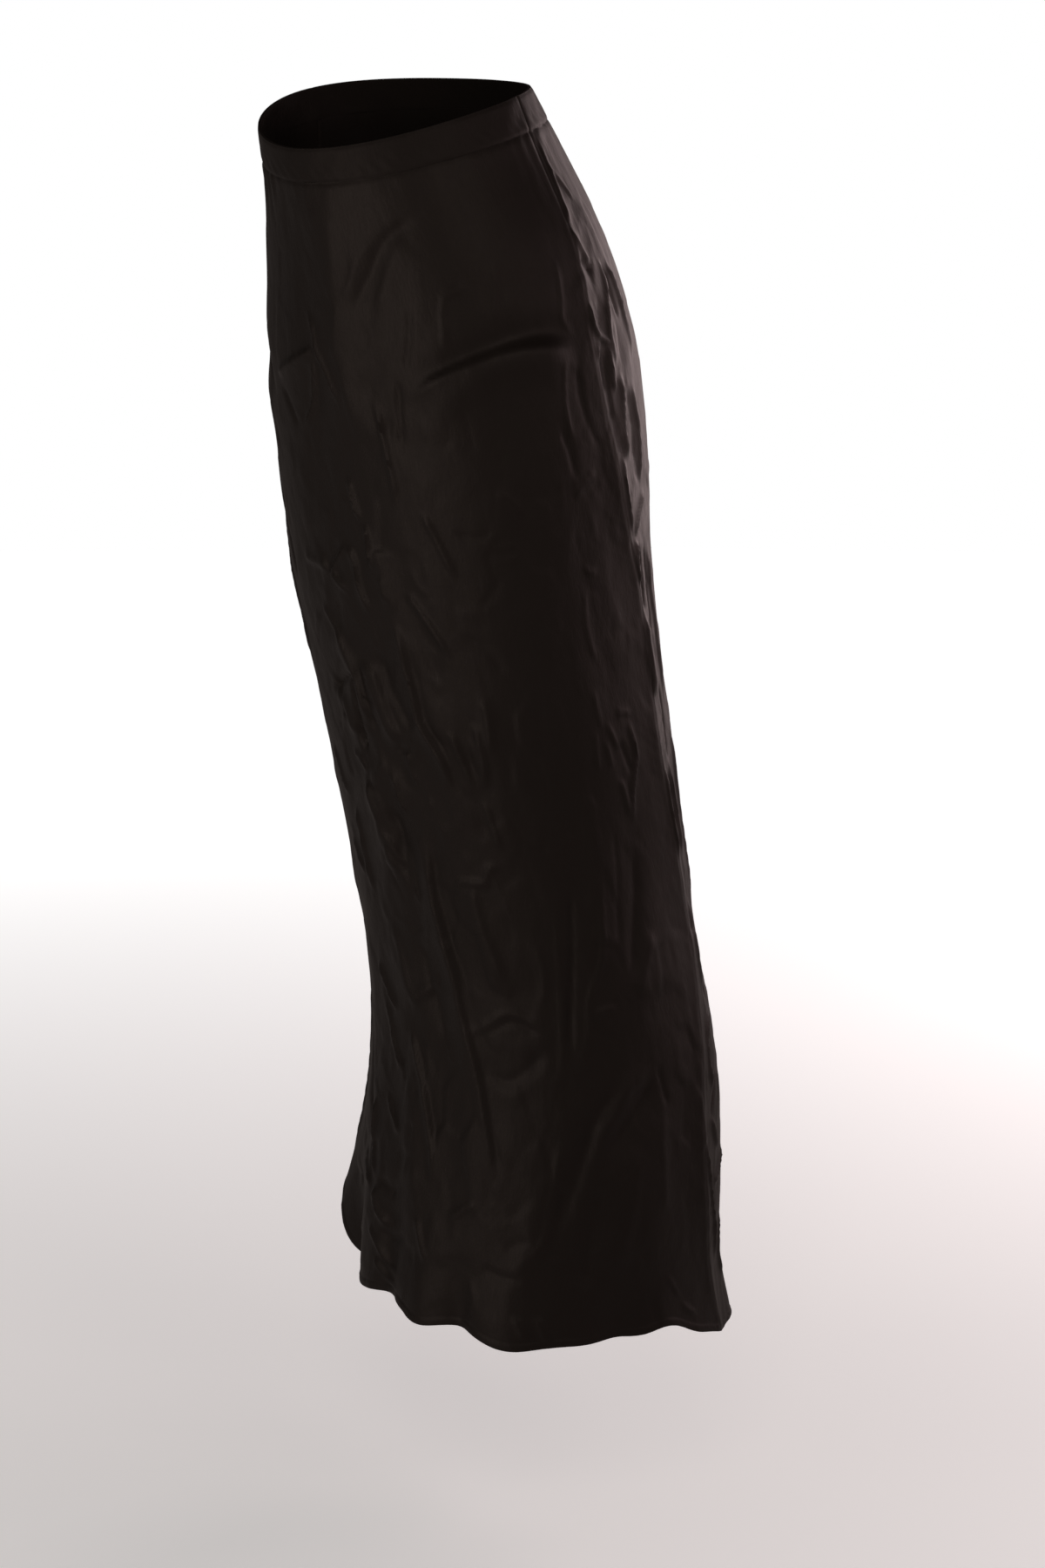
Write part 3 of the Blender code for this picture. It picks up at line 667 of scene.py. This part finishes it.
# seams and edges
edges = {
    "seamRoll": 0.0008,       # cloth turning in at a seam
    "seamRollWidth": 0.0016,
    "seamRidge": 0.0052,      # the panels meet at a soft corner
    "seamRidgeStart": 0.15,   # the drop where it has its full height
    "seamRidgeBack": 0.020,
    "seamRidgeFront": 0.016,
    "puckerHeight": 0.00030,
    "puckerBack": 1.2,
    "puckerFront": 0.6,
    "puckerReach": 0.010,
    "puckerLength": 0.0135,
    "puckerSlant": 0.7,
    "puckerShift": 0.8,       # back against front, in radians
    "puckerWander": (2.6, 31.0),   # the waves drift slowly
    "puckerJitter": (1.4, 83.0),   # and quickly
    "puckerUneven": 0.55,
    "puckerSwell": (57.0, 23.0),   # strong and weak stretches down the seam
    "hemRoll": 0.0004,        # narrow turned hem
    "hemDepth": 0.0060,
    "hemRollReach": 0.55,     # either way from the middle of its depth
    "hemRope": 0.25,          # slanting ripples along the hem, as a share of the roll
    "hemRopesAround": 118.0,
    "hemRopeLean": 900.0,
    "hemGroove": 0.35,
    "hemGroovePlace": 1.18,   # in hem depths
    "hemGrooveWidth": 0.0009,
}

puckers = rowsOf("drop amount", (
    (0.000, 0.3), (0.080, 0.6), (0.200, 1.1), (0.290, 0.7), (0.400, 0.5), (0.500, 0.8), (0.600, 0.4),
    (0.760, 0.9), (0.880, 0.8), (0.985, 0.4),
))


def puckerRipple(slant, drop, side, shift):
    # waves across the seam, uneven in length and in height
    wander, often = edges["puckerWander"]
    jitter, oftener = edges["puckerJitter"]
    beat = slant / edges["puckerLength"] + wander * np.sin(slant * often + side)
    beat = beat + jitter * np.sin(slant * oftener)
    first, second = edges["puckerSwell"]
    swell = np.sin(drop * first + 2.0 * side) * np.sin(drop * second)
    uneven = edges["puckerUneven"]
    return np.sin(2.0 * pi * beat + shift) * (1.0 - uneven + uneven * swell)


def seamHeight(angle, drop, isBack):
    height = np.zeros(np.shape(angle))
    ridgeReach = edges["seamRidgeBack"] if isBack else edges["seamRidgeFront"]
    share = edges["puckerBack"] if isBack else edges["puckerFront"]
    shift = edges["puckerShift"] if isBack else 0.0
    ridge = edges["seamRidge"] * smoothStep(drop / edges["seamRidgeStart"])
    amount = edges["puckerHeight"] * share * curveThrough(puckers, "amount", drop)
    for side in (1, -1):
        away = np.abs(angleFrom(angle, seamAngle(drop, side)))
        away = np.radians(away) * curveThrough(sections, "halfWidth", drop)
        height = height - edges["seamRoll"] * bell(away, edges["seamRollWidth"])
        height = height + ridge * np.exp(-away / ridgeReach)
        ripple = puckerRipple(drop + edges["puckerSlant"] * away, drop, side, shift)
        swell = (away / edges["puckerReach"]) * np.exp(1.0 - away / edges["puckerReach"])
        height = height + amount * ripple * np.clip(swell, 0.0, 1.0)
    return height


def hemHeight(angle, drop):
    above = hemDropAt(angle) - drop
    depth = edges["hemDepth"]
    roll = np.sqrt(np.clip(1.0 - ((above - 0.5 * depth) / (edges["hemRollReach"] * depth)) ** 2, 0.0, 1.0))
    wave = np.sin(np.radians(angle) * edges["hemRopesAround"] + above * edges["hemRopeLean"])
    rope = 1.0 + edges["hemRope"] * wave
    groove = bell(above - edges["hemGroovePlace"] * depth, edges["hemGrooveWidth"])
    return edges["hemRoll"] * (roll * rope - edges["hemGroove"] * groove)


bandSeam = {
    "dip": 0.0008,            # the panel dips into the band's seam
    "dipWidth": 0.0022,
    "gatherHeight": 0.0011,   # small gathers under it
    "gathersAround": 47.0,
    "gatherDrift": 9.0,
    "gatherLength": 0.016,
    "gatherStart": 0.003,
    "gatherBase": 0.15,
}

gatherPlaces = rowsOf("angle reach amount", ((-118.0, 16.0, 1.0), (14.0, 14.0, 0.8), (150.0, 30.0, 0.6)))


def bandSeamHeight(angle, drop):
    below = drop - skirt["bandDepth"]
    turn = np.radians(angle)
    gathers = np.sin(turn * bandSeam["gathersAround"] + 2.0 * np.sin(turn * bandSeam["gatherDrift"]))
    gathers = gathers * np.exp(-below / bandSeam["gatherLength"])
    gathers = gathers * (1.0 - np.exp(-below / bandSeam["gatherStart"]))
    amount = np.full(np.shape(angle), bandSeam["gatherBase"])
    for place in gatherPlaces:
        amount = amount + place["amount"] * bell(angleFrom(angle, place["angle"]), place["reach"])
    dip = bandSeam["dip"] * bell(below, bandSeam["dipWidth"])
    return bandSeam["gatherHeight"] * gathers * amount - dip


def softForm(angle, drop, isBack):
    # every height that a panel's cloth has over its plain sections. Both panels draw the same random
    # numbers, so that they fit at their seams.
    randoms = np.random.default_rng(crumple["seed"])
    height = foldedHeight(angle, drop)
    small = np.zeros(np.shape(angle))
    for scale in crumple["scales"]:
        small = small + facetHeight(angle, drop, scale, randoms)
    height = height + small * crumpleAmount(angle, drop)
    flat = height.ravel()
    across = np.radians(angle).ravel() * creaseStyle["radius"]
    down = drop.ravel()
    for crease in creases + strayCreases(randoms):
        addCrease(flat, across, down, crease)
    height = flat.reshape(height.shape)
    return height + seamHeight(angle, drop, isBack) + hemHeight(angle, drop) + bandSeamHeight(angle, drop)


# closed cloth shells from grids
def panelAngles(share, drop, isBack):
    left = seamAngle(drop, 1)
    right = seamAngle(drop, -1)
    clear = np.degrees(0.5 * skirt["seamGap"] / curveThrough(sections, "halfWidth", drop))
    first = left + clear if isBack else right - 360.0 + clear
    last = right - clear if isBack else left - clear
    return first + (last - first) * share


def lowestNearby(height, reach):
    lowest = height
    for axis in (0, 1):
        pads = [(0, 0), (0, 0)]
        pads[axis] = (reach, reach)
        padded = np.pad(lowest, pads, mode="edge")
        size = height.shape[axis]
        shifted = [np.take(padded, range(k, k + size), axis=axis) for k in range(2 * reach + 1)]
        lowest = np.min(shifted, axis=0)
    return lowest


def shellObject(name, outer, inner, uv, stride, material):
    # outer grid, a coarser inner grid and a rim between them
    rows, columns = outer.shape[:2]
    innerRows, innerColumns = inner.shape[:2]
    points = np.vstack([outer.reshape(-1, 3), inner.reshape(-1, 3)])
    out = np.arange(rows * columns).reshape(rows, columns)
    into = rows * columns + np.arange(innerRows * innerColumns).reshape(innerRows, innerColumns)
    quads = np.stack([out[:-1, :-1], out[1:, :-1], out[1:, 1:], out[:-1, 1:]], axis=-1).reshape(-1, 4)
    backs = np.stack([into[:-1, :-1], into[:-1, 1:], into[1:, 1:], into[1:, :-1]], axis=-1).reshape(-1, 4)
    faces = quads.tolist() + backs.tolist()
    edgePairs = (
        (out[0, ::-1], into[0, ::-1]), (out[:, 0], into[:, 0]),
        (out[-1], into[-1]), (out[::-1, -1], into[::-1, -1]),
    )
    for fine, coarse in edgePairs:
        for k in range(len(coarse) - 1):
            strip = list(fine[k * stride:(k + 1) * stride + 1])
            faces.append([int(v) for v in [coarse[k]] + [coarse[k + 1]] + strip[::-1]])
    mesh = bpy.data.meshes.new(name)
    mesh.from_pydata(points.tolist(), [], faces)
    mesh.update()
    uvOuter = uv.reshape(-1, 2)
    uvInner = uv[::stride, ::stride].reshape(-1, 2)
    uvAll = np.vstack([uvOuter, uvInner])
    layer = mesh.uv_layers.new(name="cloth")
    corners = np.empty(len(mesh.loops), dtype=np.int32)
    mesh.loops.foreach_get("vertex_index", corners)
    layer.data.foreach_set("uv", uvAll[corners].astype(np.float32).ravel())
    mesh.shade_smooth()
    mesh.set_sharp_from_angle(angle=radians(60.0))
    mesh.materials.append(material)
    piece = bpy.data.objects.new(name, mesh)
    bpy.context.scene.collection.objects.link(piece)
    return piece


# satin
print("satin")

satinLook = {
    "dark": (0.0090, 0.0070, 0.0059),
    "light": (0.0120, 0.0093, 0.0079),
    "cloudScale": 9.0,        # per metre
    "threadScale": 1500.0,    # threads across, per metre
    "threadLength": 70.0,
    "threadDepth": 0.00003,
    "threadAngle": 45.0,      # cut on the bias
    "crinkleScale": 260.0,
    "crinkleStretch": 0.45,
    "crinkleDepth": 0.00022,
    "crinkleAngle": 12.0,
    "noiseRange": (0.35, 0.70),
    "roughLow": 0.48,
    "roughHigh": 0.56,
    "specularTint": (1.0, 0.86, 0.82, 1.0),
    "sheenRoughness": 0.35,
}


def link(tree, source, target):
    tree.links.new(source, target)


def setInputs(node, **values):
    # an underscore in a name stands for a space
    for key, value in values.items():
        node.inputs[key.replace("_", " ")].default_value = value


def addNode(tree, kind, **values):
    node = tree.nodes.new(kind)
    setInputs(node, **values)
    return node


def noiseOver(tree, uv, x, y, lean, **values):
    # noise in cloth coordinates that are turned and stretched
    mapping = addNode(tree, "ShaderNodeMapping", Scale=(x, y, 1.0), Rotation=(0.0, 0.0, radians(lean)))
    noise = addNode(tree, "ShaderNodeTexNoise", Scale=1.0, **values)
    link(tree, uv, mapping.inputs["Vector"])
    link(tree, mapping.outputs["Vector"], noise.inputs["Vector"])
    return noise.outputs["Fac"]


def makeSatin(name, sheen, sheenTint, specular, lift=1.0, rough=0.0):
    look = satinLook
    material = bpy.data.materials.new(name)
    material.use_nodes = True
    tree = material.node_tree
    shader = tree.nodes["Principled BSDF"]
    cloth = tree.nodes.new("ShaderNodeUVMap")
    cloth.uv_map = "cloth"
    uv = cloth.outputs["UV"]

    clouds = addNode(tree, "ShaderNodeTexNoise", Scale=look["cloudScale"], Detail=4.0, Roughness=0.6)
    link(tree, uv, clouds.inputs["Vector"])
    colour = tree.nodes.new("ShaderNodeMix")
    colour.data_type = "RGBA"
    colour.inputs[6].default_value = [c * lift for c in look["dark"]] + [1.0]
    colour.inputs[7].default_value = [c * lift for c in look["light"]] + [1.0]
    link(tree, clouds.outputs["Fac"], colour.inputs[0])
    link(tree, colour.outputs[2], shader.inputs["Base Color"])

    fine = look["threadScale"]
    coarse = look["threadLength"]
    threads = noiseOver(tree, uv, fine, coarse, look["threadAngle"], Detail=2.0, Roughness=0.5)
    picks = noiseOver(tree, uv, coarse, fine, look["threadAngle"], Detail=2.0, Roughness=0.5)
    weave = tree.nodes.new("ShaderNodeMath")
    weave.operation = "ADD"
    link(tree, threads, weave.inputs[0])
    link(tree, picks, weave.inputs[1])

    low, high = look["noiseRange"]
    roughness = addNode(tree, "ShaderNodeMapRange", From_Min=low, From_Max=high,
                        To_Min=look["roughLow"] + rough, To_Max=look["roughHigh"] + rough)
    link(tree, threads, roughness.inputs["Value"])
    link(tree, roughness.outputs["Result"], shader.inputs["Roughness"])

    crinkle = noiseOver(tree, uv, look["crinkleScale"], look["crinkleStretch"] * look["crinkleScale"],
                        look["crinkleAngle"], Detail=3.0, Roughness=0.55, Distortion=0.6)
    weaveBump = addNode(tree, "ShaderNodeBump", Distance=look["threadDepth"])
    link(tree, weave.outputs["Value"], weaveBump.inputs["Height"])
    crinkleBump = addNode(tree, "ShaderNodeBump", Distance=look["crinkleDepth"])
    link(tree, crinkle, crinkleBump.inputs["Height"])
    link(tree, weaveBump.outputs["Normal"], crinkleBump.inputs["Normal"])
    link(tree, crinkleBump.outputs["Normal"], shader.inputs["Normal"])

    setInputs(shader, Specular_IOR_Level=specular, Specular_Tint=look["specularTint"], Sheen_Weight=sheen,
              Sheen_Roughness=look["sheenRoughness"], Sheen_Tint=sheenTint)
    return material


satinFront = makeSatin("satin_front", 0.01, (0.62, 0.45, 0.38, 1.0), 0.20)
satinBack = makeSatin("satin_back", 0.02, (0.75, 0.60, 0.58, 1.0), 0.22)
satinBand = makeSatin("satin_band", 0.01, (0.62, 0.48, 0.42, 1.0), 0.18, lift=0.9, rough=0.05)


# the two panels
frontPanel = {
    "name": "front_panel",
    "node": "skirt_front",
    "isBack": False,
    "cut": (0.640, 0.985),    # widest by longest, as laid flat
    "cutArea": 0.452,
}
backPanel = {
    "name": "back_panel",
    "node": "skirt_back",
    "isBack": True,
    "cut": (0.600, 1.050),
    "cutArea": 0.402,
}
panelGrid = {
    "stride": 3,              # the inner side is this much coarser
    "tuck": 0.0004,           # under the band's lower edge
    "width": 0.45,            # a middle width, to place the columns at the edges
    "edgeColumns": (0.0, 0.0008, 0.0017, 0.0028, 0.0042, 0.0060),
    "columns": 224,
    "topRows": (0.0, 0.0008, 0.0018, 0.0032, 0.0052),
    "hemRows": (0.0, 0.0008, 0.0017, 0.0026, 0.0035, 0.0044, 0.0053, 0.0062, 0.0072, 0.0084, 0.0100),
    "rows": 348,
    "wall": 0.0011,
    "innerReach": 4,
    "fitRounds": 4,
}


def panelGridFor(isBack):
    # rows follow the hem and columns the seams, which depend on each other, so they are fitted in rounds
    grid = panelGrid
    edge = np.array(grid["edgeColumns"]) / grid["width"]
    middle = grid["columns"] + 1 - 2 * len(edge)
    inner = np.linspace(edge[-1], 1.0 - edge[-1], middle + 2)[1:-1]
    share = np.concatenate([edge, inner, 1.0 - edge[::-1]])
    top = skirt["bandDepth"] - grid["tuck"]
    topRows = np.array(grid["topRows"])
    hemRows = np.array(grid["hemRows"])[::-1]
    middle = grid["rows"] + 1 - len(topRows) - len(hemRows)
    part = np.linspace(0.0, 1.0, middle + 2)[1:-1]
    start = top + topRows[-1]
    across = np.zeros((1, grid["columns"] + 1))
    upper = top + topRows[:, None] + across
    drop = np.linspace(top, skirt["hemDrop"], grid["rows"] + 1)[:, None] + across
    for _ in range(grid["fitRounds"]):
        angle = panelAngles(share[None, :], drop, isBack)
        hem = hemDropAt(angle)
        hemLow = hem[len(topRows):len(topRows) + middle]
        body = start + (hemLow - hemRows[0] - start) * part[:, None]
        lower = hem[-len(hemRows):] - hemRows[:, None]
        drop = np.vstack([upper, body, lower])
    return angle, drop


def clothShell(name, node, angle, drop, height, sizes, material):
    # the cloth's outer side at the given heights and its inner side a wall below
    stride = sizes["stride"]
    outer = clothPoint(angle, drop, height)
    under = lowestNearby(height, sizes["innerReach"]) - sizes["wall"]
    inner = clothPoint(angle, drop, under)[::stride, ::stride]
    uv = np.stack([np.radians(angle) * creaseStyle["radius"], drop], axis=-1)
    piece = shellObject(name, outer, inner, uv, stride, material)
    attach(piece, "root")
    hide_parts(node)
    return piece


def makePanel(panel, material):
    print("panel", panel["name"])
    angle, drop = panelGridFor(panel["isBack"])
    height = softForm(angle, drop, panel["isBack"])
    return clothShell(panel["name"], panel["node"], angle, drop, height, panelGrid, material)


frontPiece = makePanel(frontPanel, satinFront)
backPiece = makePanel(backPanel, satinBack)


# waistband, a folded strip in two lengths
band = {
    "columns": 240,
    "rows": 24,
    "stride": 3,
    "wall": 0.0022,
    "innerReach": 3,
    "proud": 0.0006,
    "edgeRound": 0.0016,
    "length": 0.36,               # a middle length, for the dip at the band's own seams
    "seamDip": 0.0007,
    "seamDipWidth": 0.0014,
    "ripple": 0.00035,
    "waves": (23.0, 160.0, 7.0),  # around, down, and the beat
    "ropeHeight": 0.00016,        # slanting drag lines above the lower edge
    "ropes": (61.0, 420.0, 5.0),
    "ropeDrop": 0.018,
    "ropeReach": 0.006,
    "frontCut": (0.395, 0.026),   # the outer face of the folded strip
    "backCut": (0.332, 0.026),
}


def makeBand(name, node, isBack, material):
    print("band", name)
    share = np.linspace(0.0, 1.0, band["columns"] + 1)[None, :]
    part = np.linspace(0.0, 1.0, band["rows"] + 1)[:, None]
    part = 0.5 - 0.5 * np.cos(pi * part)
    drop = skirt["bandDepth"] * part + 0.0 * share
    angle = panelAngles(share, drop, isBack)
    turn = np.radians(angle)
    edge = np.minimum(drop, skirt["bandDepth"] - drop)
    seam = np.minimum(share, 1.0 - share) * band["length"]
    height = np.full(angle.shape, band["proud"])
    height = height - 0.9 * band["proud"] * bell(edge, band["edgeRound"])
    height = height - band["seamDip"] * bell(seam, band["seamDipWidth"])
    around, down, beat = band["waves"]
    wave = np.sin(turn * around + drop * down) * np.sin(turn * beat + 1.0)
    height = height + band["ripple"] * wave * np.sin(pi * drop / skirt["bandDepth"])
    around, down, beat = band["ropes"]
    ropes = np.sin(turn * around - drop * down + 2.0 * np.sin(turn * beat))
    ropes = ropes * bell(drop - band["ropeDrop"], band["ropeReach"])
    height = height + band["ropeHeight"] * ropes
    height = height + foldedHeight(angle, drop)
    return clothShell(name, node, angle, drop, height, band, material)


bandFront = makeBand("band_front", "waistband_front", False, satinBand)
bandBack = makeBand("band_back", "waistband_back", True, satinBand)


# camera, floor and light
print("camera and light")

view = {
    "azimuth": 47.0,
    "pitch": 9.7,
    "distance": 2.28,
    "sideways": 0.0985,
    "height": -0.131,
    "lens": 66.84,
    "farthest": 60.0,
}
stage = {
    "floorHeight": -1.130,
    "floorRadius": 9.0,
    "floorSides": 96,
    "colour": (0.86, 0.855, 0.85, 1.0),
    "roughness": 0.9,
    "glow": (0.30, 1.0),       # near the skirt and farther off
    "glowFrom": 0.9,
    "glowTo": 3.2,
    "roomLight": 0.270,        # from the pale floor below, fading upwards
    "roomAbove": 0.06,         # share of it that comes from above
    "roomFade": 0.4,
    "roomColour": (1.0, 0.87, 0.82, 1.0),
}
lamps = {
    "distance": 2.6,
    "size": (1.0, 1.5),
    "aim": (0.04, 0.08, -0.45),
}

# azimuth 0 is in front of the skirt and 90 at its left side
lights = rowsOf("name azimuth height power colour", (
    ("front", -10.0, -0.3, 13.5, (1.0, 0.91, 0.83)),
    ("high", 47.0, 1.0, 10.0, (1.0, 0.91, 0.83)),
    ("side", 88.0, 0.6, 6.0, (1.0, 0.84, 0.81)),
    ("sideBehind", 135.0, 0.1, 10.5, (1.0, 0.78, 0.79)),
    ("behindLeft", 160.0, 0.2, 6.0, (1.0, 0.78, 0.79)),
    ("behind", 185.0, 0.2, 19.0, (1.0, 0.80, 0.80)),
))


def addCamera():
    turn = radians(view["azimuth"])
    camera = bpy.data.cameras.new("camera")
    camera.lens = view["lens"]
    camera.clip_end = view["farthest"]
    holder = bpy.data.objects.new("camera", camera)
    holder.location = (
        view["distance"] * sin(turn) + view["sideways"] * cos(turn),
        -view["distance"] * cos(turn) + view["sideways"] * sin(turn),
        view["height"],
    )
    holder.rotation_euler = (radians(90.0 - view["pitch"]), 0.0, turn)
    bpy.context.scene.collection.objects.link(holder)
    bpy.context.scene.camera = holder


def addLight(light):
    lamp = bpy.data.lights.new(light["name"], "AREA")
    lamp.shape = "RECTANGLE"
    lamp.size, lamp.size_y = lamps["size"]
    lamp.energy = light["power"]
    lamp.color = light["colour"]
    holder = bpy.data.objects.new(light["name"], lamp)
    turn = radians(light["azimuth"])
    place = np.array((sin(turn) * lamps["distance"], -cos(turn) * lamps["distance"], light["height"]))
    x, y, z = np.array(lamps["aim"]) - place
    holder.location = place
    holder.rotation_euler = (pi / 2 + np.arctan2(z, np.hypot(x, y)), 0.0, np.arctan2(-x, y))
    bpy.context.scene.collection.objects.link(holder)


def addFloor():
    mesh = bpy.data.meshes.new("floor")
    count = stage["floorSides"]
    radius = stage["floorRadius"]
    ring = []
    for k in range(count):
        turn = 2 * pi * k / count
        ring.append((radius * cos(turn), radius * sin(turn), stage["floorHeight"]))
    mesh.from_pydata(ring, [], [list(range(count))])
    floor = bpy.data.objects.new("floor", mesh)
    bpy.context.scene.collection.objects.link(floor)
    material = bpy.data.materials.new("floor")
    material.use_nodes = True
    tree = material.node_tree
    shader = tree.nodes["Principled BSDF"]
    setInputs(shader, Base_Color=stage["colour"], Roughness=stage["roughness"])
    setInputs(shader, Emission_Color=(1.0, 1.0, 1.0, 1.0))
    place = tree.nodes.new("ShaderNodeTexCoord")
    distance = tree.nodes.new("ShaderNodeVectorMath")
    distance.operation = "LENGTH"
    link(tree, place.outputs["Object"], distance.inputs[0])
    near, far = stage["glow"]
    fade = addNode(tree, "ShaderNodeMapRange", From_Min=stage["glowFrom"], From_Max=stage["glowTo"],
                   To_Min=near, To_Max=far)
    link(tree, distance.outputs["Value"], fade.inputs["Value"])
    link(tree, fade.outputs["Result"], shader.inputs["Emission Strength"])
    mesh.materials.append(material)
    floor.visible_diffuse = False
    floor.visible_glossy = False


def addWorld():
    # white behind the skirt, and a dim room around it for the light
    world = bpy.data.worlds.new("studio")
    bpy.context.scene.world = world
    world.use_nodes = True
    tree = world.node_tree
    background = tree.nodes["Background"]
    ray = tree.nodes.new("ShaderNodeLightPath")
    tone = tree.nodes.new("ShaderNodeMix")
    tone.data_type = "RGBA"
    tone.inputs[6].default_value = stage["roomColour"]
    tone.inputs[7].default_value = (1.0, 1.0, 1.0, 1.0)
    link(tree, ray.outputs["Is Camera Ray"], tone.inputs[0])
    link(tree, tone.outputs[2], background.inputs["Color"])
    way = tree.nodes.new("ShaderNodeTexCoord")
    upward = tree.nodes.new("ShaderNodeSeparateXYZ")
    link(tree, way.outputs["Generated"], upward.inputs["Vector"])
    room = addNode(tree, "ShaderNodeMapRange", From_Min=-stage["roomFade"], From_Max=stage["roomFade"],
                   To_Min=stage["roomLight"], To_Max=stage["roomLight"] * stage["roomAbove"])
    link(tree, upward.outputs["Z"], room.inputs["Value"])
    strength = addNode(tree, "ShaderNodeMapRange", To_Max=1.0)
    link(tree, room.outputs["Result"], strength.inputs["To Min"])
    link(tree, ray.outputs["Is Camera Ray"], strength.inputs["Value"])
    link(tree, strength.outputs["Result"], background.inputs["Strength"])


addCamera()
addFloor()
addWorld()
for light in lights:
    addLight(light)
bpy.context.scene.view_settings.view_transform = "Standard"
